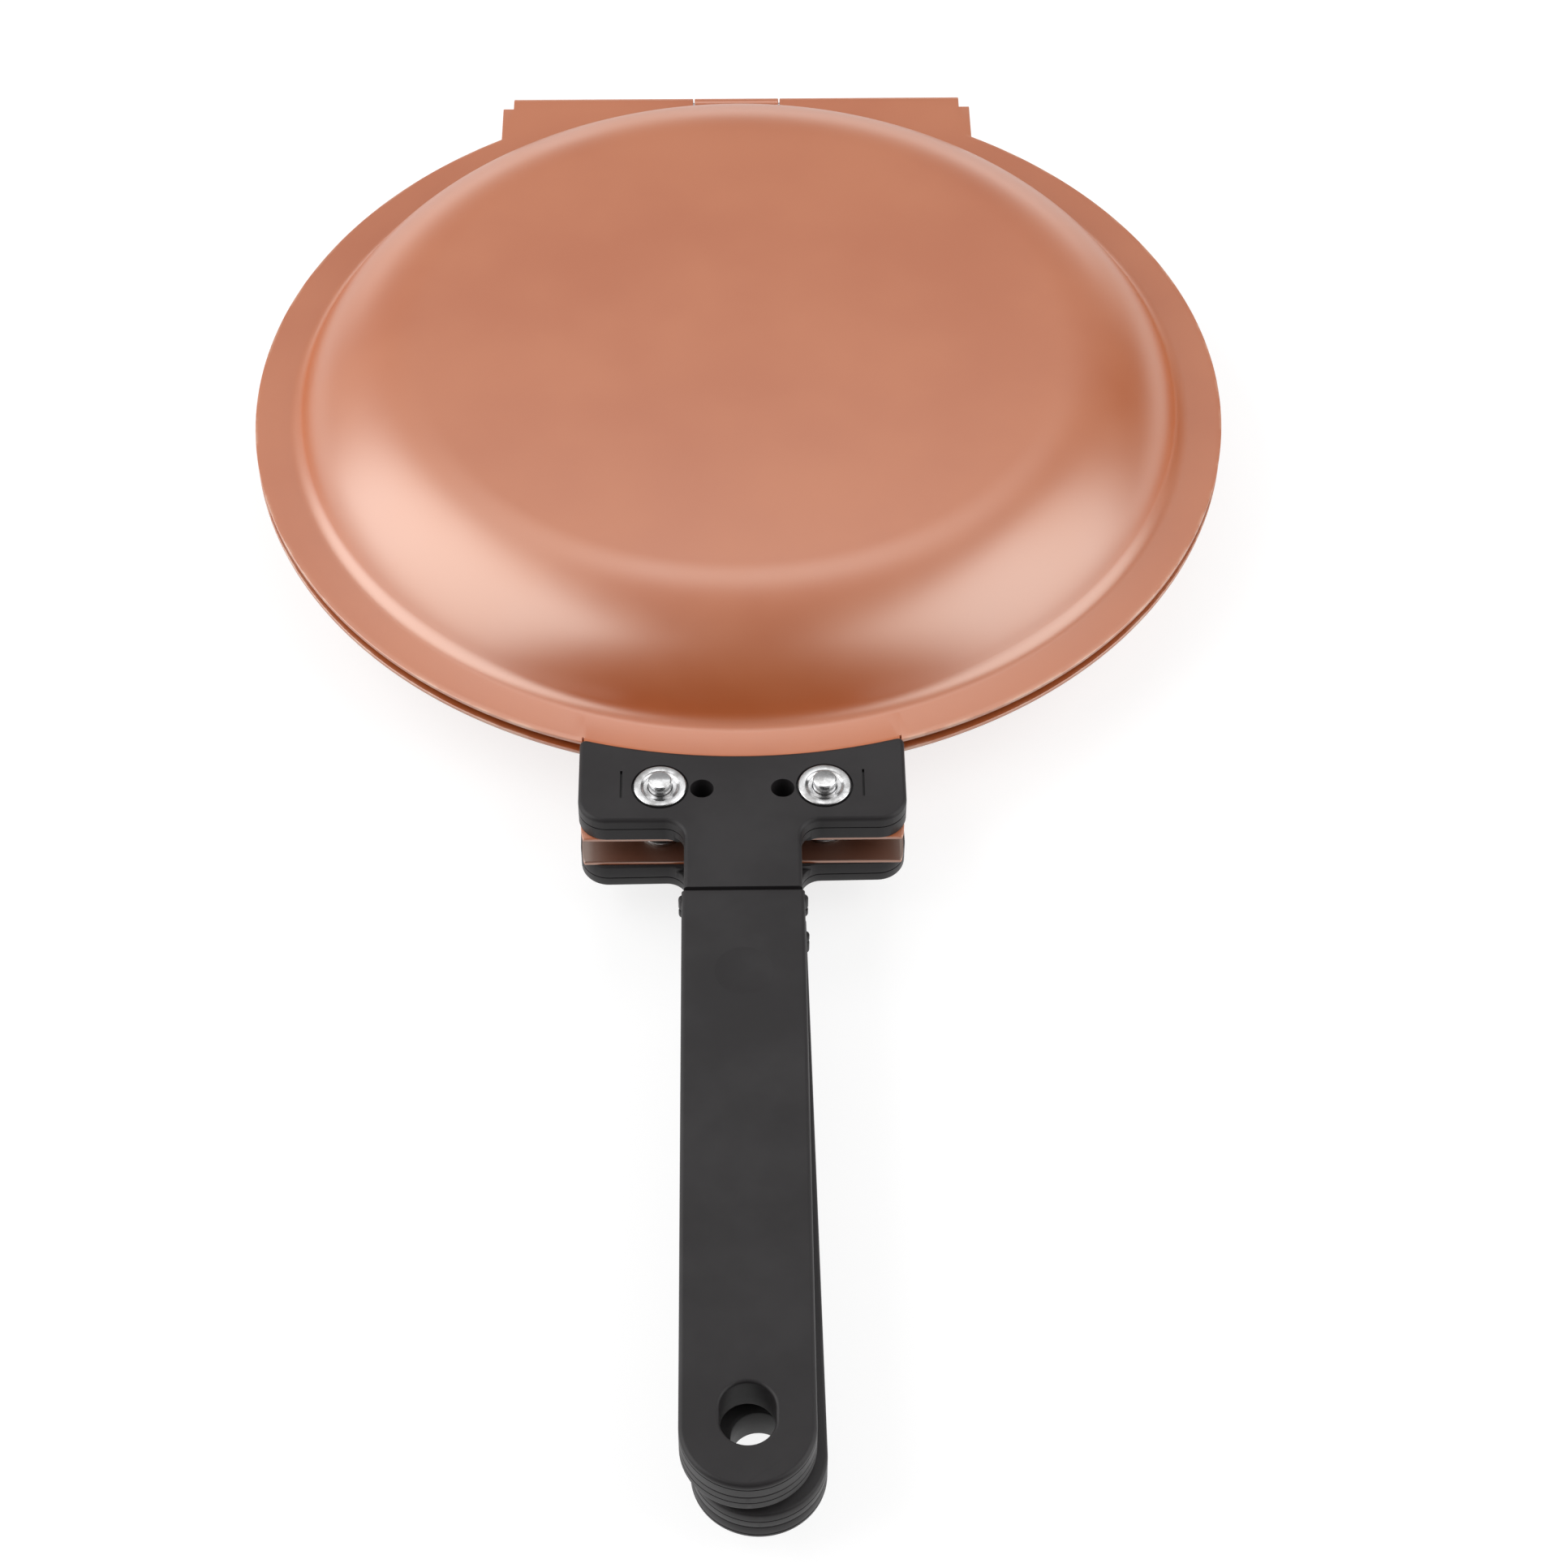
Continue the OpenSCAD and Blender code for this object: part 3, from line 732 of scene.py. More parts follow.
@dataclass
class PanHalf:
    """One half of the pan: a dished sheet with a rolled hinge at the back and a raised tab for the handle."""

    side: Side
    parting: float = 18.5 * MM
    thickness: float = 0.8 * MM
    height: float = 18.5 * MM
    base_radius: float = 62.0 * MM
    wall_centre: float = -7.5 * MM
    wall_radius: float = 26.0 * MM
    foot_place: Pair = (88.6 * MM, 5.25 * MM)
    foot_radius: float = 3.5 * MM
    rim_radius: float = 95.0 * MM
    rim_level: float = 1.75 * MM
    slit_radius: float = 93.8 * MM
    hinge_y: float = 93.35 * MM
    hinge_edge: float = 91.0 * MM
    hinge_inner: float = 0.6 * MM
    hinge_near: Pair = (0.02 * MM, 0.2 * MM)
    hinge_merge: float = 0.004 * MM
    hinge_half: float = 50.0 * MM
    roll_radius: float = 1.85 * MM
    roll_turn: float = 290.0
    middle_roll: float = 9.0 * MM
    side_roll: Pair = (9.3 * MM, 47.8 * MM)
    tab_half: float = 28.5 * MM
    slit: float = 0.3 * MM
    tab_lift: float = 1.85 * MM
    tab_lift_end: float = 98.91 * MM
    tab_front: float = -114.85 * MM
    tab_corner: float = 5.0 * MM
    edge_round: float = 0.16 * MM
    count: int = 240
    wall_steps: int = 22
    foot_steps: int = 6
    roll_steps: int = 30
    lift_steps: int = 8
    near: float = 0.03 * MM

    def build(self) -> Piece:
        """Models the half from its flat base outwards.

        Returns:
            The finished piece.
        """
        piece = Bench.disc(f"{self.side.value}_pan_sheet", (0.0, 0.0, self.parting + self.height),
                           self.base_radius, self.count)
        self._rings()
        self._hinge_tab()
        self._rolls()
        self._handle_tab()
        Bench.tidy(piece)
        Bench.modify(piece, "SOLIDIFY", thickness=self.thickness, offset=-1.0, use_even_offset=True)
        Bench.round_all(piece, self.edge_round, 3, SQUARE_DEGREES)
        Bench.smooth(piece, SHARP_DEGREES)
        if self.side is Side.LOWER:
            Bench.turn_over(piece, self.parting)
        return piece

    def _profile(self) -> list[Pair]:
        """Works out the rings outside the flat base.

        Returns:
            Each ring's radius and its height over the parting plane.
        """
        reach = self.foot_place[0] - self.base_radius
        rise = self.foot_place[1] - self.wall_centre
        turn = math.atan2(reach, rise)
        wall = [(self.base_radius + self.wall_radius * math.sin(turn * step / self.wall_steps),
                 self.wall_centre + self.wall_radius * math.cos(turn * step / self.wall_steps))
                for step in range(1, self.wall_steps + 1)]
        foot = [(self.foot_place[0] - self.foot_radius * math.sin(turn * (1 - step / self.foot_steps)),
                 self.foot_place[1] - self.foot_radius * math.cos(turn * (1 - step / self.foot_steps)))
                for step in range(1, self.foot_steps + 1)]
        return wall + foot + [(self.slit_radius, self.rim_level), (self.rim_radius, self.rim_level)]

    def _rings(self) -> None:
        """Draws the wall, the foot and the flat rim out of the base's edge, ring by ring."""
        Bench.pick(Part.EDGE, lambda edge: edge.is_boundary)
        radius, level = self.base_radius, self.height
        for next_radius, next_level in self._profile():
            Bench.draw_out((0.0, 0.0, next_level - level))
            grow = next_radius / radius
            bpy.ops.transform.resize(value=(grow, grow, 1.0),
                                     center_override=(0.0, 0.0, self.parting + next_level))
            radius, level = next_radius, next_level

    def _on_rim(self, face: bmesh.types.BMFace, way: float) -> bool:
        """Whether a face lies on the flat rim or a tab, behind for way 1 and in front for way -1."""
        centre = face.calc_center_median()
        return math.hypot(centre.x, centre.y) > self.foot_place[0] and centre.y * way > 0.0

    def _split_rim(self, way: float, places: list[float]) -> None:
        """Cuts the flat rim along lines of constant X, on both sides of the middle.

        Args:
            way: 1 for the rim behind, -1 for the rim in front.
            places: The lines' distances from the middle.
        """
        for place in places:
            for hand in HANDS:
                Bench.pick(Part.FACE, lambda face: self._on_rim(face, way))
                Bench.split_at((hand * place, 0.0, 0.0), (1.0, 0.0, 0.0))

    def _hinge_tab(self) -> None:
        """Squares the rim off at the back and widens it to the hinge's straight edge."""
        meet = math.sqrt(self.rim_radius ** 2 - self.hinge_edge ** 2)
        self._split_rim(1.0, [meet, self.hinge_half, self.middle_roll, self.side_roll[0], self.side_roll[1]])
        level = self.parting + self.rim_level
        inner = self.hinge_edge - self.hinge_inner
        for radius, line in ((self.slit_radius, inner), (self.rim_radius, self.hinge_edge)):
            Bench.pick(Part.CORNER, lambda corner, radius=radius, line=line:
                       corner.co.y > line - self.hinge_near[0]
                       and abs(math.hypot(corner.co.x, corner.co.y) - radius) < self.hinge_near[1])
            bpy.ops.transform.resize(value=(1.0, 0.0, 1.0), center_override=(0.0, line, level))
        Bench.pick(Part.EDGE, lambda edge: edge.is_boundary and all(
            meet - self.near < abs(corner.co.x) < self.hinge_half + self.near and corner.co.y > 0.0
            for corner in edge.verts))
        Bench.draw_out((0.0, 0.0, 0.0))
        bpy.ops.transform.resize(value=(1.0, 0.0, 1.0), center_override=(0.0, self.hinge_edge, level))
        Bench.everything()
        bpy.ops.mesh.remove_doubles(threshold=self.hinge_merge)

    def _rolls(self) -> None:
        """Curls the sheet round the hinge pin, in the middle or on both sides."""
        spans = [(-self.middle_roll, self.middle_roll)]
        if self.side is Side.UPPER:
            spans = [(-self.side_roll[1], -self.side_roll[0]), self.side_roll]
        for low, high in spans:
            Bench.pick(Part.EDGE, lambda edge, low=low, high=high: edge.is_boundary and all(
                low - self.near < corner.co.x < high + self.near
                and abs(corner.co.y - self.hinge_edge) < self.near for corner in edge.verts))
            Bench.draw_out((0.0, self.hinge_y - self.hinge_edge, self.roll_radius - self.rim_level))
            bpy.ops.mesh.spin(steps=self.roll_steps, angle=math.radians(self.roll_turn),
                              center=(0.0, self.hinge_y, self.parting), axis=(1.0, 0.0, 0.0))

    def _handle_tab(self) -> None:
        """Slits the rim in front, raises the tab between the slits and draws it out to its rounded front."""
        near = 0.005 * MM
        self._split_rim(-1.0, [self.tab_half, self.tab_half + self.slit])
        Bench.pick(Part.FACE, lambda face: self._on_rim(face, -1.0)
                   and abs(face.calc_center_median().x) < self.tab_half + self.slit
                   and face.calc_center_median().xy.length > self.slit_radius - 0.1 * MM)
        bpy.ops.mesh.delete(type="FACE")
        Bench.pick(Part.EDGE, lambda edge: edge.is_boundary and all(
            abs(corner.co.x) < self.tab_half + near and corner.co.y < 0.0 for corner in edge.verts))
        for step in range(1, self.lift_steps + 1):
            share = step / self.lift_steps
            radius = self.slit_radius + share * (self.tab_lift_end - self.slit_radius)
            level = self.parting + self.rim_level + self.tab_lift * share * share * (3.0 - 2.0 * share)
            Bench.draw_out((0.0, 0.0, 0.0))
            Bench.settle(lambda place, radius=radius, level=level:
                         (place.x, -math.sqrt(radius ** 2 - place.x ** 2), level))
        Bench.draw_out((0.0, 0.0, 0.0))
        Bench.settle(lambda place: (place.x, self.tab_front, place.z))
        Bench.pick(Part.FACE, lambda face: min(corner.co.y for corner in face.verts) < self.tab_front + near)
        bpy.ops.mesh.dissolve_faces()
        Bench.round_corners(self.tab_half, self.tab_front, self.tab_corner, 10)


@dataclass
class Bar:
    """A straight moulded bar along Y with a wide round on its top edge and a narrow one at its foot."""

    name: str
    half: float
    start: float
    end: float
    low: float
    high: float
    low_round: float
    high_round: float
    groove_level: float | None = None
    end_gap: float = 0.002 * MM

    def build(self) -> Piece:
        """Models the bar. Only a bar with a groove has a round end.

        Returns:
            The finished bar.
        """
        piece = Bench.plate(self.name, (-self.half, self.end), (self.half, self.start), self.low)
        if self.groove_level is not None:
            Bench.round_corners(self.half, self.end, self.half - self.end_gap, 28)
        Bench.everything()
        Bench.extrude(self.high - self.low)
        Bench.tidy(piece)
        if self.groove_level is not None:
            Bench.side_groove(piece, self.groove_level)
        Bench.open(piece)
        for level, width, steps in ((self.high, self.high_round, 5), (self.low, self.low_round, 3)):
            Bench.soften(lambda edge, level=level: turns_sharply(edge) and not along_x(edge, self.start)
                         and at_level(edge, level), width, steps, False)
        Bench.close()
        return piece


@dataclass
class HandlePlan:
    """The sizes that a handle's outer moulding, its inner cover and its fastenings share."""

    side: Side
    parting: float = 18.5 * MM
    neck_half: float = 10.2 * MM
    neck_end: float = -129.8 * MM
    grip_half: float = 10.6 * MM
    grip_start: float = -130.1 * MM
    grip_end: float = -245.0 * MM
    seam: float = 4.6 * MM
    seam_round: float = 0.25 * MM
    cover_start: float = -115.6 * MM
    hole_y: float = -232.3 * MM
    hole_radius: float = 4.3 * MM
    hole_stretch: float = 2.2 * MM
    hole_round: float = 0.6 * MM
    bead_radius: float = 0.9 * MM
    bead_proud: float = 0.55 * MM
    bead_y: float = -131.4 * MM
    lean_degrees: float = 0.75
    rivet_place: Pair = (14.45 * MM, -107.4 * MM)
    hole_reach: Pair = (-2.0 * MM, 12.0 * MM)
    hole_count: int = 66
    bead_count: int = 32
    lip_reach: float = 0.05 * MM
    crease_degrees: float = 32.0
    flat_weight: int = 60

    def build(self) -> Piece:
        """Models the piece. Each kind of piece has its own way."""
        raise NotImplementedError

    def _put(self, piece: Piece) -> Piece:
        """Turns the piece over and leans it where it belongs to the lower half.

        Args:
            piece: The piece.

        Returns:
            The same piece.
        """
        if self.side is Side.LOWER:
            Bench.turn_over(piece, self.parting)
            Bench.lean(piece, (0.0, self.rivet_place[1], 0.0), self.lean_degrees)
        return piece

    def _finish(self, piece: Piece, level: float) -> Piece:
        """Rounds the hanging hole's lip, shades the moulding and puts it in place.

        Args:
            piece: The moulding.
            level: The lip's height over the parting plane.

        Returns:
            The same piece.
        """
        Bench.open(piece)

        def lip(edge: Edge) -> bool:
            """Whether an edge is on the hanging hole's lip."""
            return turns_sharply(edge) and all(
                math.hypot(corner.co.x, max(0.0, abs(corner.co.y - self.hole_y) - self.hole_stretch / 2))
                < self.hole_radius + self.lip_reach and abs(corner.co.z - self.parting - level) < self.lip_reach
                for corner in edge.verts)

        Bench.soften(lip, self.hole_round, 4)
        self._round_lips()
        Bench.close()
        Bench.smooth(piece, self.crease_degrees)
        Bench.modify(piece, "WEIGHTED_NORMAL", mode="FACE_AREA", weight=self.flat_weight, keep_sharp=True)
        return self._put(piece)

    def _round_lips(self) -> None:
        """Rounds the lips of smaller holes in the piece in hand, where it has any."""

    def _beads(self, low: float, high: float, round_top: float) -> list[Piece]:
        """Makes the small upright beads at the sides of the grip.

        Args:
            low: Their foot.
            high: Their top.
            round_top: The round on their ends.

        Returns:
            The left and the right bead.
        """
        beads = []
        for hand in HANDS:
            place = (hand * (self.grip_half + self.bead_proud - self.bead_radius), self.bead_y)
            bead = Bench.peg(place, self.bead_radius, self.parting + low, self.parting + high,
                             count=self.bead_count)
            Bench.round_all(bead, round_top, 3, SQUARE_DEGREES)
            beads.append(bead)
        return beads

    def _hole_cutter(self) -> Piece:
        """Makes the cutter of the hanging hole."""
        low, high = (self.parting + reach for reach in self.hole_reach)
        return Bench.peg((0.0, self.hole_y), self.hole_radius, low, high, self.hole_stretch, self.hole_count)


@dataclass
class Handle(HandlePlan):
    """A flat moulded handle: a head that takes the tab, a neck, and a long grip with a hole to hang it by."""

    head_half: float = 28.8 * MM
    head_front: float = -115.15 * MM
    head_arc: float = 100.0 * MM
    head_low: float = 3.6 * MM
    head_high: float = 8.9 * MM
    head_bend: float = -114.5 * MM
    head_groove: float = 6.5 * MM
    front_corner: float = 5.0 * MM
    rear_corner: float = 1.5 * MM
    neck_corner: float = 3.5 * MM
    neck_drop: float = 0.3 * MM
    step_round: float = 0.18 * MM
    grip_high: float = 8.0 * MM
    grip_groove: float = 6.75 * MM
    grip_start_round: float = 0.3 * MM
    core_half: float = 10.15 * MM
    core_high: float = 7.4 * MM
    core_gap: float = 0.3 * MM
    bead_high: float = 7.4 * MM
    bead_round: float = 0.3 * MM
    edge_round: float = 0.8 * MM
    blind_place: Pair = (7.1 * MM, -107.9 * MM)
    blind_radius: float = 2.05 * MM
    blind_depth: float = 4.5 * MM
    seat_radius: float = 5.0 * MM
    seat_depth: float = 0.6 * MM
    shank_radius: float = 2.25 * MM
    slot_place: Pair = (21.3 * MM, -106.8 * MM)
    slot_size: Triple = (0.4 * MM, 6.2 * MM, 0.5 * MM)
    dimple_place: Pair = (0.0, -147.5 * MM)
    dimple_radius: float = 5.0 * MM
    dimple_depth: float = 0.4 * MM
    lip_round: float = 0.15 * MM
    clear: float = 1.0 * MM

    def build(self) -> Piece:
        """Models the head and the grip, joins them and carves the holes and marks.

        Returns:
            The finished piece.
        """
        piece = self._head()
        Bench.combine(piece, "UNION", self._core(), self._grip(),
                      *self._beads(self.seam + self.seam_round, self.bead_high, self.bead_round))
        Bench.combine(piece, "DIFFERENCE", *self._cutters())
        Bench.tidy(piece)
        return self._finish(piece, self.grip_high)

    def _head(self) -> Piece:
        """Models the head with its neck: its plan, height, side groove, rounds and slope.

        Returns:
            The head and the neck as one closed piece.
        """
        piece = Bench.plate(f"{self.side.value}_handle_moulding", (-self.head_half, self.head_front),
                            (self.head_half, -self.head_arc), self.parting + self.head_low)
        for hand in HANDS:
            Bench.everything()
            Bench.split_at((hand * self.neck_half, 0.0, 0.0), (1.0, 0.0, 0.0))
        Bench.pick(Part.EDGE, lambda edge: along_x(edge, self.head_front)
                   and all(abs(corner.co.x) < self.neck_half + NEAR for corner in edge.verts))
        Bench.draw_out((0.0, self.neck_end - self.head_front, 0.0))
        Bench.everything()
        bpy.ops.mesh.dissolve_faces()
        Bench.pick(Part.EDGE, lambda edge: along_x(edge, -self.head_arc))
        bpy.ops.mesh.subdivide(number_cuts=11)
        Bench.pick(Part.CORNER, lambda corner: abs(corner.co.y + self.head_arc) < NEAR)
        Bench.settle(lambda place: (place.x, -math.sqrt(self.head_arc ** 2 - place.x ** 2), place.z))
        rear = -math.sqrt(self.head_arc ** 2 - self.head_half ** 2)
        Bench.round_corners(self.head_half, self.head_front, self.front_corner, 12)
        Bench.round_corners(self.neck_half, self.head_front, self.neck_corner, 10)
        Bench.round_corners(self.head_half, rear, self.rear_corner, 6)
        Bench.everything()
        Bench.extrude(self.head_high - self.head_low)
        Bench.tidy(piece)
        Bench.side_groove(piece, self.parting + self.head_groove)
        self._round_head_top(piece)
        Bench.combine(piece, "DIFFERENCE",
                      Bench.block((-2 * self.grip_half, 2 * self.neck_end - self.cover_start, 0.0),
                                  (2 * self.grip_half, self.cover_start, self.parting + self.seam)))
        self._round_head_foot(piece)
        return piece

    def _round_head_top(self, piece: Piece) -> None:
        """Rounds the head's upper edge, then slopes the neck down a little towards the grip.

        Args:
            piece: The head.
        """
        Bench.open(piece)
        top = self.parting + self.head_high
        Bench.soften(lambda edge: turns_sharply(edge) and not along_x(edge, self.neck_end)
                     and at_level(edge, top), self.edge_round, 5, False)
        Bench.soften(lambda edge: along_x(edge, self.neck_end) and at_level(edge, top), self.step_round, 2, False)
        Bench.everything()
        Bench.split_at((0.0, self.head_bend, 0.0), (0.0, 1.0, 0.0))
        Bench.pick(Part.CORNER, lambda corner: corner.co.y < self.head_bend - NEAR
                   and corner.co.z > top - self.edge_round - NEAR)
        length = self.head_bend - self.neck_end
        Bench.settle(lambda place: (place.x, place.y,
                                    place.z - self.neck_drop * (self.head_bend - place.y) / length))
        Bench.close()

    def _round_head_foot(self, piece: Piece) -> None:
        """Rounds the lower edges of the head and the neck a little, but not those across the bar.

        Args:
            piece: The head.
        """
        Bench.open(piece)
        for level in (self.head_low, self.seam):
            Bench.soften(lambda edge, level=level: turns_sharply(edge) and at_level(edge, self.parting + level)
                         and not (along_x(edge, self.neck_end) or along_x(edge, self.cover_start)),
                         self.seam_round, 3)
        Bench.close()

    def _grip(self) -> Piece:
        """Models the grip's outer half, with a groove round its side.

        Returns:
            The grip.
        """
        high = self.parting + self.grip_high
        piece = Bar("grip", self.grip_half, self.grip_start, self.grip_end, self.parting + self.seam, high,
                    self.seam_round, self.edge_round, self.parting + self.grip_groove).build()
        Bench.open(piece)
        Bench.soften(lambda edge: along_x(edge, self.grip_start)
                     and all(corner.co.z > high - NEAR for corner in edge.verts), self.grip_start_round, 3, False)
        Bench.close()
        return piece

    def _core(self) -> Piece:
        """Makes the plain block that joins the neck and the grip below the line between them."""
        return Bench.block((-self.core_half, self.grip_start - self.clear, self.parting + self.seam + self.core_gap),
                           (self.core_half, self.neck_end + self.clear, self.parting + self.core_high))

    def _cutters(self) -> list[Piece]:
        """Makes the cutters of the hanging hole, blind holes, washers' seats, slot marks and dimple.

        Returns:
            The cutters, in the order that they are used.
        """
        top = self.parting + self.head_high
        over = top + self.clear
        cutters = [self._hole_cutter(), Bench.cap(self.dimple_place, self.parting + self.grip_high,
                                                  self.dimple_radius, self.dimple_depth)]
        for hand in HANDS:
            blind, seat, slot = ((hand * x, y) for x, y in (self.blind_place, self.rivet_place, self.slot_place))
            wide, long, deep = (size / 2 for size in self.slot_size)
            cutters += [Bench.peg(blind, self.blind_radius, top - self.blind_depth, over, count=40),
                        Bench.peg(seat, self.seat_radius, top - self.seat_depth, over),
                        Bench.peg(seat, self.shank_radius, self.parting, top, count=40),
                        Bench.block((slot[0] - wide, slot[1] - long, top - 2 * deep),
                                    (slot[0] + wide, slot[1] + long, over))]
        return cutters

    def _round_lips(self) -> None:
        """Rounds the lips of the holes and seats in the head a little."""
        spots = ((self.blind_place, self.blind_radius), (self.rivet_place, self.seat_radius))

        def lip(edge: Edge) -> bool:
            """Whether an edge is on one of these lips."""
            level = all(abs(corner.co.z - self.parting - self.head_high) < 0.02 * MM for corner in edge.verts)
            return level and turns_sharply(edge) and any(all(
                abs(math.hypot(abs(corner.co.x) - x, corner.co.y - y) - radius) < self.lip_reach
                for corner in edge.verts) for (x, y), radius in spots)

        Bench.soften(lip, self.lip_round, 2)


@dataclass
class HandleCover(HandlePlan):
    """The flat inner cover that closes a handle from below, with a pocket for the closing magnet."""

    inner: float = 1.0 * MM
    inner_round: float = 0.5 * MM
    overlap: float = 2.0 * MM
    pocket_y: float = -212.0 * MM
    pocket_radius: float = 5.1 * MM
    pocket_high: float = 3.0 * MM
    bead_low: float = 3.0 * MM
    bead_round: float = 0.2 * MM
    groove_level: float = 2.9 * MM

    def build(self) -> Piece:
        """Models the cover from two bars and carves the hanging hole and the magnet's pocket.

        Returns:
            The finished piece.
        """
        levels = (self.parting + self.inner, self.parting + self.seam, self.inner_round, self.seam_round)
        piece = Bar(f"{self.side.value}_cover_moulding", self.grip_half, self.neck_end, self.grip_end, *levels,
                    self.parting + self.groove_level).build()
        neck = Bar("neck", self.neck_half, self.cover_start, self.neck_end - self.overlap, *levels).build()
        Bench.combine(piece, "UNION", neck, *self._beads(self.bead_low, self.seam - self.seam_round,
                                                         self.bead_round))
        Bench.combine(piece, "DIFFERENCE", self._hole_cutter(),
                      Bench.peg((0.0, self.pocket_y), self.pocket_radius, self.parting - self.inner,
                                self.parting + self.pocket_high))
        Bench.tidy(piece)
        return self._finish(piece, self.inner)


@dataclass
class Fastening(HandlePlan):
    """A round piece on the axis of one rivet, turned from a disc."""

    left: bool = True
    shank_radius: float = 2.05 * MM

    @property
    def centre(self) -> Pair:
        """Its axis in X and Y."""
        return (-self.rivet_place[0] if self.left else self.rivet_place[0]), self.rivet_place[1]

    def _start(self, kind: str, radius: float, low: float, high: float, count: int) -> Piece:
        """Starts the piece from a thick disc.

        Args:
            kind: The middle of its name.
            radius: Its radius.
            low: Its foot over the parting plane.
            high: Its top over the parting plane.
            count: How many corners it has.

        Returns:
            The piece, in edit mode, with its top face selected.
        """
        piece = Bench.disc(f"{self.side.value}_{kind}_{'left' if self.left else 'right'}",
                           (*self.centre, self.parting + low), radius, count)
        Bench.everything()
        Bench.extrude(high - low)
        return piece

    def _turn(self, piece: Piece, width: float, steps: int, degrees: float) -> Piece:
        """Rounds the turned piece's edges, shades it and puts it in place.

        Args:
            piece: The turned piece.
            width: How far the round reaches.
            steps: How many faces it has.
            degrees: The least turn of an edge that is rounded.

        Returns:
            The same piece.
        """
        Bench.round_all(piece, width, steps, degrees)
        Bench.smooth(piece, SHARP_DEGREES)
        return self._put(piece)


@dataclass
class Washer(Fastening):
    """A pressed washer: a flat outer ring round a slightly lower inner one."""

    radius: float = 4.65 * MM
    low: float = 8.3 * MM
    high: float = 9.1 * MM
    ring: float = 1.3 * MM
    slope: float = 0.35 * MM
    dip: float = 0.32 * MM
    clearance: float = 0.06 * MM
    cutter_reach: float = 20.0 * MM
    edge_round: float = 0.22 * MM

    def build(self) -> Piece:
        """Models the washer from a disc.

        Returns:
            The finished piece.
        """
        piece = self._start("washer_disc", self.radius, self.low, self.high, 96)
        bpy.ops.mesh.inset(thickness=self.ring)
        bpy.ops.mesh.inset(thickness=self.slope, depth=-self.dip)
        Bench.tidy(piece)
        Bench.combine(piece, "DIFFERENCE", Bench.peg(self.centre, self.shank_radius + self.clearance, self.parting,
                                                     self.parting + self.cutter_reach, count=48))
        return self._turn(piece, self.edge_round, 4, 30.0)


@dataclass
class Rivet(Fastening):
    """A rivet: a flat head inside the tab and a shank that stands out of the washer."""

    head_radius: float = 3.9 * MM
    head_low: float = 1.9 * MM
    head_high: float = 2.8 * MM
    end: float = 10.7 * MM
    edge_round: float = 0.2 * MM

    def build(self) -> Piece:
        """Models the rivet from a disc.

        Returns:
            The finished piece.
        """
        piece = self._start("rivet_turned", self.head_radius, self.head_low, self.head_high, 72)
        bpy.ops.mesh.inset(thickness=self.head_radius - self.shank_radius)
        Bench.extrude(self.end - self.head_high)
        Bench.tidy(piece)
        return self._turn(piece, self.edge_round, 3, 50.0)


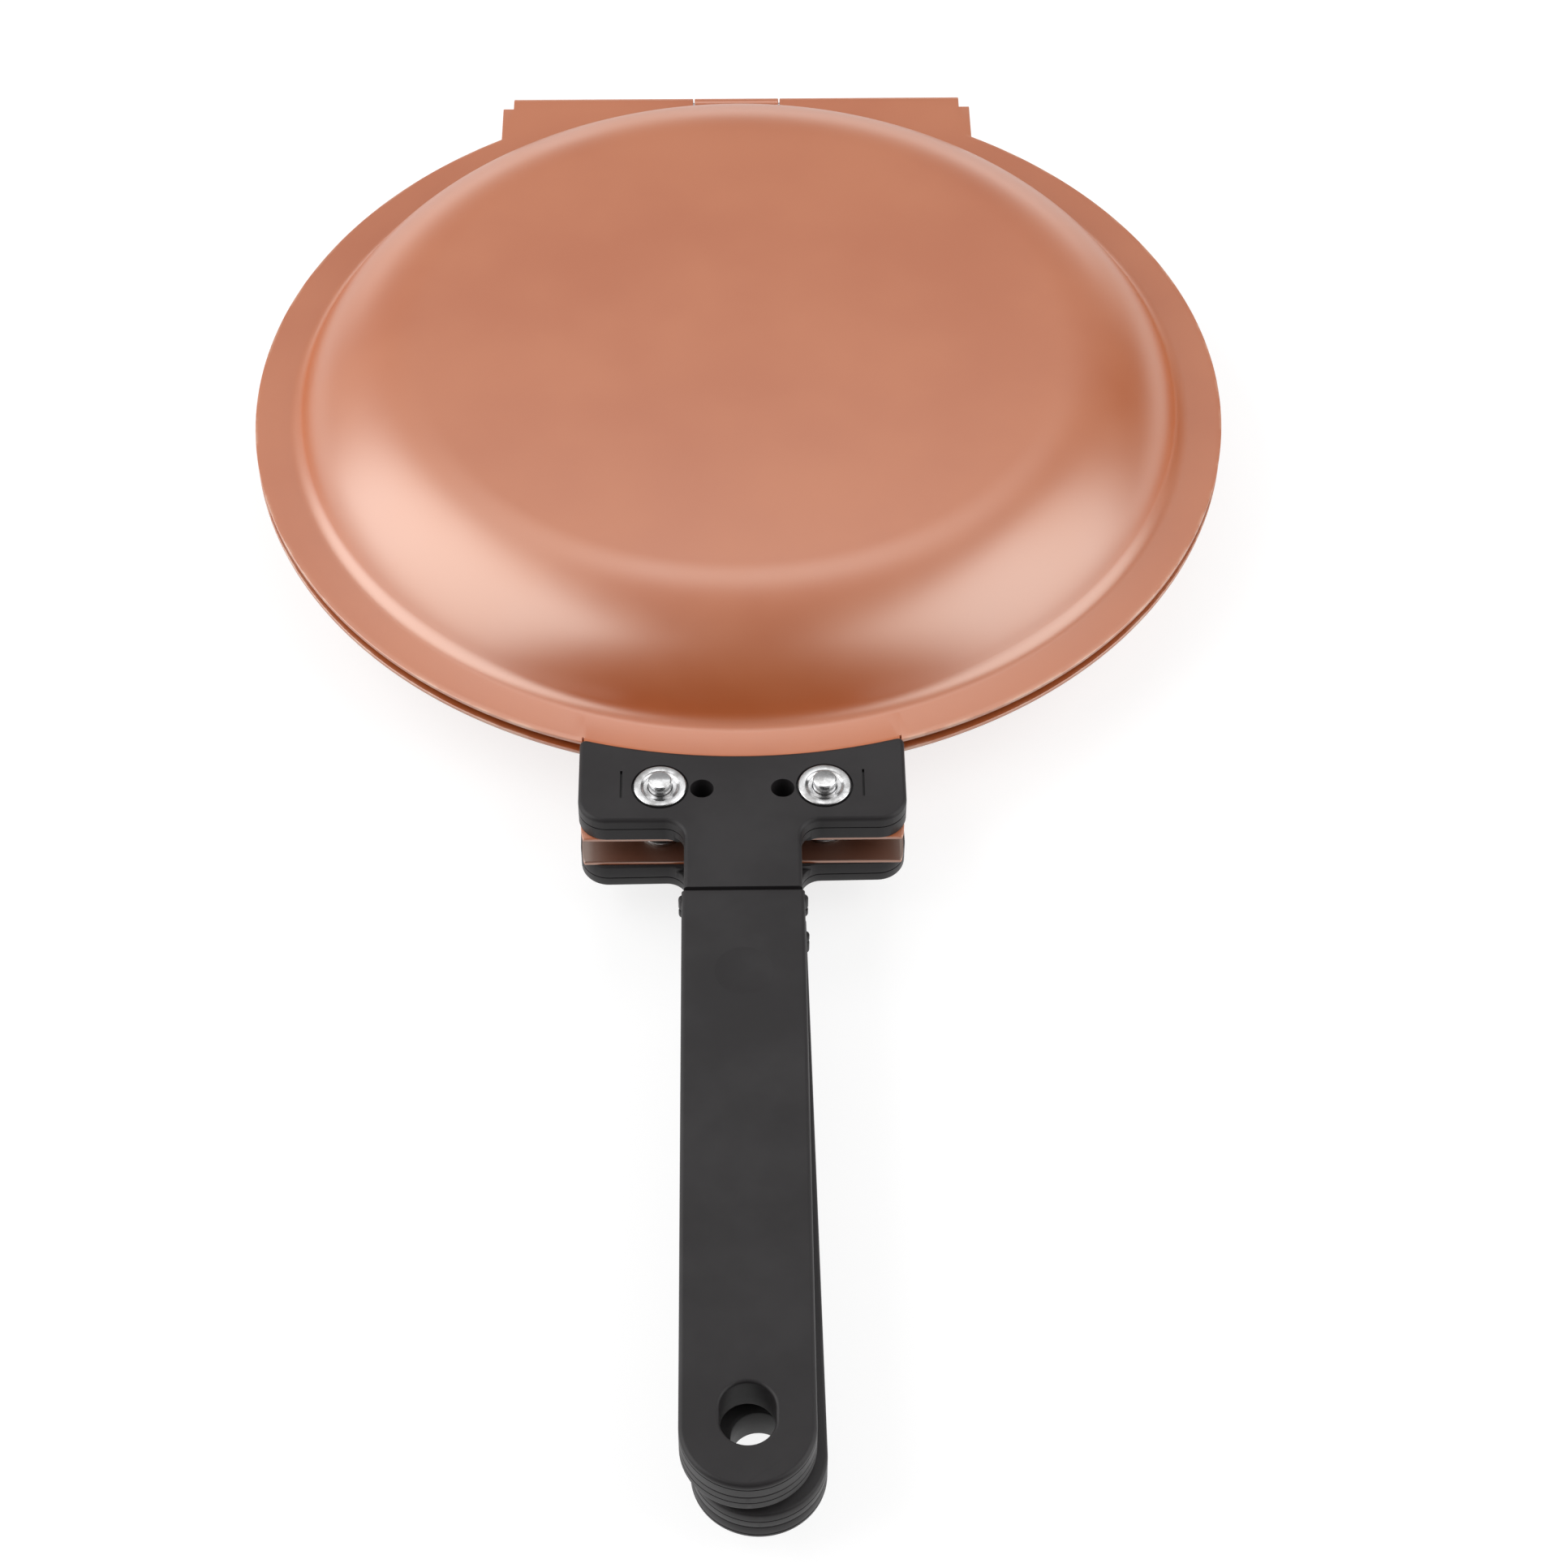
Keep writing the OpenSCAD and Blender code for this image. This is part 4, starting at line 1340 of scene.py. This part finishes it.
@dataclass
class Studio:
    """The pale floor, the soft lamps, the surroundings and the camera at the photograph's angle."""

    floor_span: float = 9.0
    floor_own_white: float = 0.74
    floor_tints: Pair = (0.34, 0.34 * 0.99)
    floor_fibre: float = 900.0
    floor_fibre_span: Pair = (0.3, 0.7)
    floor_fade: Pair = (0.6, 1.6)
    floor_bounce: float = 0.12
    plain_rise: Pair = (0.55, 0.95)
    plain_levels: Pair = (0.02, 0.56)
    plain_depth: Pair = (-0.5, 0.5)
    plain_gains: Pair = (1.2, 0.8)
    room_depth: Pair = (-0.4, 0.4)
    room_levels: Pair = (0.03, 0.4)
    horizon_rise: Pair = (0.05, 0.3)
    horizon_depth: Pair = (0.7, 0.92)
    horizon_gain: float = 5.5
    right_reach: Pair = (0.35, 0.75)
    right_gain: float = 0.15
    camera_place: Triple = (-0.000109, -0.501327, 0.484705)
    camera_angles: Triple = (49.227, 1.0542, 0.3131)
    camera_clip: Pair = (0.01, 50.0)
    focal_pixels: float = 4237.5
    frame_pixels: float = 1930.0
    sensor_width: float = 36.0
    lamp_distance: float = 0.95
    lamps: tuple[tuple[str, float, float, Pair, float], ...] = (
        ("lamp_left", -97.0, 34.0, (1.15, 1.15), 2.5),
        ("lamp_right", 105.0, 31.0, (0.98, 1.1), 2.3),
        ("lamp_back", 0.0, 64.0, (0.7, 0.3), 1.5),
    )

    def build(self) -> None:
        """Sets up the floor, light and camera."""
        self._floor()
        self._surroundings()
        for lamp in self.lamps:
            self._lamp(*lamp)
        self._camera()
        bpy.context.scene.view_settings.view_transform = "Standard"
        LOG.info("studio: floor, surroundings, %d lamps and the camera", len(self.lamps))

    def _floor(self) -> None:
        """Lays a pale floor that keeps the object's soft shadow."""
        bpy.ops.mesh.primitive_plane_add(size=self.floor_span, location=(0.0, 0.0, 0.0))
        floor = bpy.context.object
        floor.name = "studio_floor"
        made = bpy.data.materials.new("pale_paper")
        made.use_nodes = True
        board = NodeBoard(made.node_tree)
        path = board.add("LightPath").outputs
        seen = board.math("MAXIMUM", path["Is Camera Ray"], path["Is Glossy Ray"])
        seen = board.math("MAXIMUM", seen, path["Is Transmission Ray"])
        place = board.add("TexCoord").outputs["Object"]
        fibre = board.ramp(board.noise(place, self.floor_fibre), *self.floor_fibre_span)
        paper = board.add("BsdfDiffuse", {"Color": board.blend(
            fibre, *((tint, tint, tint, 1.0) for tint in self.floor_tints))})
        reach = board.add("VectorMath", {0: place}, operation="LENGTH").outputs["Value"]
        glow = board.add("Emission", {"Strength": board.ramp(reach, *self.floor_fade, self.floor_own_white, 1.0)})
        both = board.add("AddShader", {0: paper.outputs[0], 1: glow.outputs[0]})
        plain = board.add("BsdfDiffuse", {"Color": (*[self.floor_bounce] * 3, 1.0)})
        choice = board.add("MixShader", {0: seen, 1: plain.outputs[0], 2: both.outputs[0]})
        board.add("OutputMaterial", {"Surface": choice.outputs[0]})
        floor.data.materials.append(made)

    def _surroundings(self) -> None:
        """Makes a white surround, darker towards the camera for what glosses and lights the object."""
        world = bpy.data.worlds.new("studio_room")
        bpy.context.scene.world = world
        world.use_nodes = True
        board = NodeBoard(world.node_tree)
        path = board.add("LightPath").outputs
        way = board.add("SeparateXYZ", {0: board.add("TexCoord").outputs["Generated"]}).outputs
        room = board.ramp(way["Y"], *self.room_depth, *self.room_levels)
        near_back = board.math("MULTIPLY", board.ramp(way["Z"], *self.horizon_rise, self.horizon_gain - 1.0, 0.0),
                               board.ramp(way["Y"], *self.horizon_depth))
        room = board.math("MULTIPLY", room, board.math("ADD", near_back, 1.0))
        room = board.math("MULTIPLY", room, board.ramp(way["X"], *self.right_reach, 1.0, self.right_gain))
        plain = board.math("MULTIPLY", board.ramp(way["Z"], *self.plain_rise, *self.plain_levels),
                           board.ramp(way["Y"], *self.plain_depth, *self.plain_gains))
        glossy = board.math("MAXIMUM", path["Is Glossy Ray"], path["Is Transmission Ray"])
        level = board.math("ADD", board.math("MULTIPLY", room, glossy),
                           board.math("MULTIPLY", board.math("SUBTRACT", 1.0, glossy), plain))
        sky = board.add("Background", {"Color": (1.0, 1.0, 1.0, 1.0),
                                       "Strength": board.math("MAXIMUM", level, path["Is Camera Ray"])})
        board.add("OutputWorld", {"Surface": sky.outputs[0]})

    def _lamp(self, name: str, turn: float, height: float, span: Pair, level: float) -> None:
        """Hangs an oblong soft lamp that points at the pan.

        Args:
            name: The lamp's name.
            turn: Its direction round the pan from +Y towards +X, in degrees.
            height: Its height above the horizon, in degrees.
            span: Its width and height, in metres.
            level: Its brightness, where 1 is white.
        """
        turn, height = math.radians(turn), math.radians(height)
        outward = Vector((math.sin(turn) * math.cos(height), math.cos(turn) * math.cos(height), math.sin(height)))
        data = bpy.data.lights.new(name, "AREA")
        data.shape = "RECTANGLE"
        data.size, data.size_y = span
        data.energy = level * math.pi * span[0] * span[1]
        lamp = bpy.data.objects.new(name, data)
        bpy.context.scene.collection.objects.link(lamp)
        lamp.location = outward * self.lamp_distance
        lamp.rotation_mode = "QUATERNION"
        lamp.rotation_quaternion = (-outward).to_track_quat("-Z", "Y")

    def _camera(self) -> None:
        """Stands the camera where the photograph was taken from."""
        down, turn, roll = (math.radians(angle) for angle in self.camera_angles)
        forward = Vector((math.sin(turn) * math.cos(down), math.cos(turn) * math.cos(down), -math.sin(down)))
        right = forward.cross(Vector((0.0, 0.0, 1.0))).normalized()
        upward = right.cross(forward)
        right, upward = (math.cos(roll) * right + math.sin(roll) * upward,
                         math.cos(roll) * upward - math.sin(roll) * right)
        data = bpy.data.cameras.new("camera")
        data.sensor_fit = "HORIZONTAL"
        data.sensor_width = self.sensor_width
        data.lens = self.sensor_width * self.focal_pixels / self.frame_pixels
        data.clip_start, data.clip_end = self.camera_clip
        camera = bpy.data.objects.new("camera", data)
        bpy.context.scene.collection.objects.link(camera)
        turned = Matrix((right, upward, -forward)).transposed().to_4x4()
        camera.matrix_world = Matrix.Translation(self.camera_place) @ turned
        bpy.context.scene.camera = camera


@dataclass
class FlipPan:
    """The whole pan: dresses what the CAD model gives and adds the finer pieces."""

    nodes: dict[str, Piece]
    slots: dict[str, str]
    finishes: dict[Coating, Finish] = field(default_factory=lambda: {
        Coating.PAN: CopperCoating(),
        Coating.HANDLE: MouldedPlastic(),
        Coating.COVER: MouldedPlastic(name="moulded_cover", gloss=(0.52, 0.42)),
        Coating.RIVET: BrightMetal(name="rivet_metal"),
        Coating.WASHER: BrightMetal(name="washer_metal", gloss=(0.2, 0.34)),
        Coating.PIN: DrawnWire(),
        Coating.MAGNET: BrightMetal(name="plated_metal", first=linear(205, 203, 200), second=linear(180, 178, 174)),
    })

    def build(self) -> None:
        """Dresses the CAD nodes, then models the finer pieces and puts each in its node's place."""
        made = {coating: finish.material() for coating, finish in self.finishes.items()}
        for name, node in self.nodes.items():
            node.data.materials[0] = made[Coating(self.slots[name])]
        LOG.info("dressed %d CAD nodes", len(self.nodes))
        for side in Side:
            makers = [(PanHalf(side), "pan"), (Handle(side), "handle"), (HandleCover(side), "handle_cover")]
            for left in (True, False):
                makers += [(Washer(side, left=left), f"washer_{'left' if left else 'right'}"),
                           (Rivet(side, left=left), f"rivet_{'left' if left else 'right'}")]
            for maker, node in makers:
                name = f"{side.value}_{node}"
                coating = Coating(self.slots[name])
                self._place(maker.build(), side, name, made[coating])

    def _place(self, piece: Piece, side: Side, node: str, material: bpy.types.Material) -> None:
        """Finishes a piece and lets it stand for its CAD node.

        Args:
            piece: The new piece.
            side: The half that it moves with.
            node: The CAD node that it stands for.
            material: The finish.
        """
        piece.data.materials.clear()
        piece.data.materials.append(material)
        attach(piece, side.body)
        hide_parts(node)
        LOG.info("%s: %d faces, for %s", piece.name, len(piece.data.polygons), node)


def main() -> None:
    """Builds the studio and the pan, and reports each piece."""
    logging.basicConfig(level=logging.INFO, format="%(message)s")
    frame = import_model()
    Studio().build()
    slots = {part["node"]: part["material_slot"] for part in frame["record"]["subparts"]}
    FlipPan(frame["nodes"], slots).build()


if __name__ == "__main__":
    main()
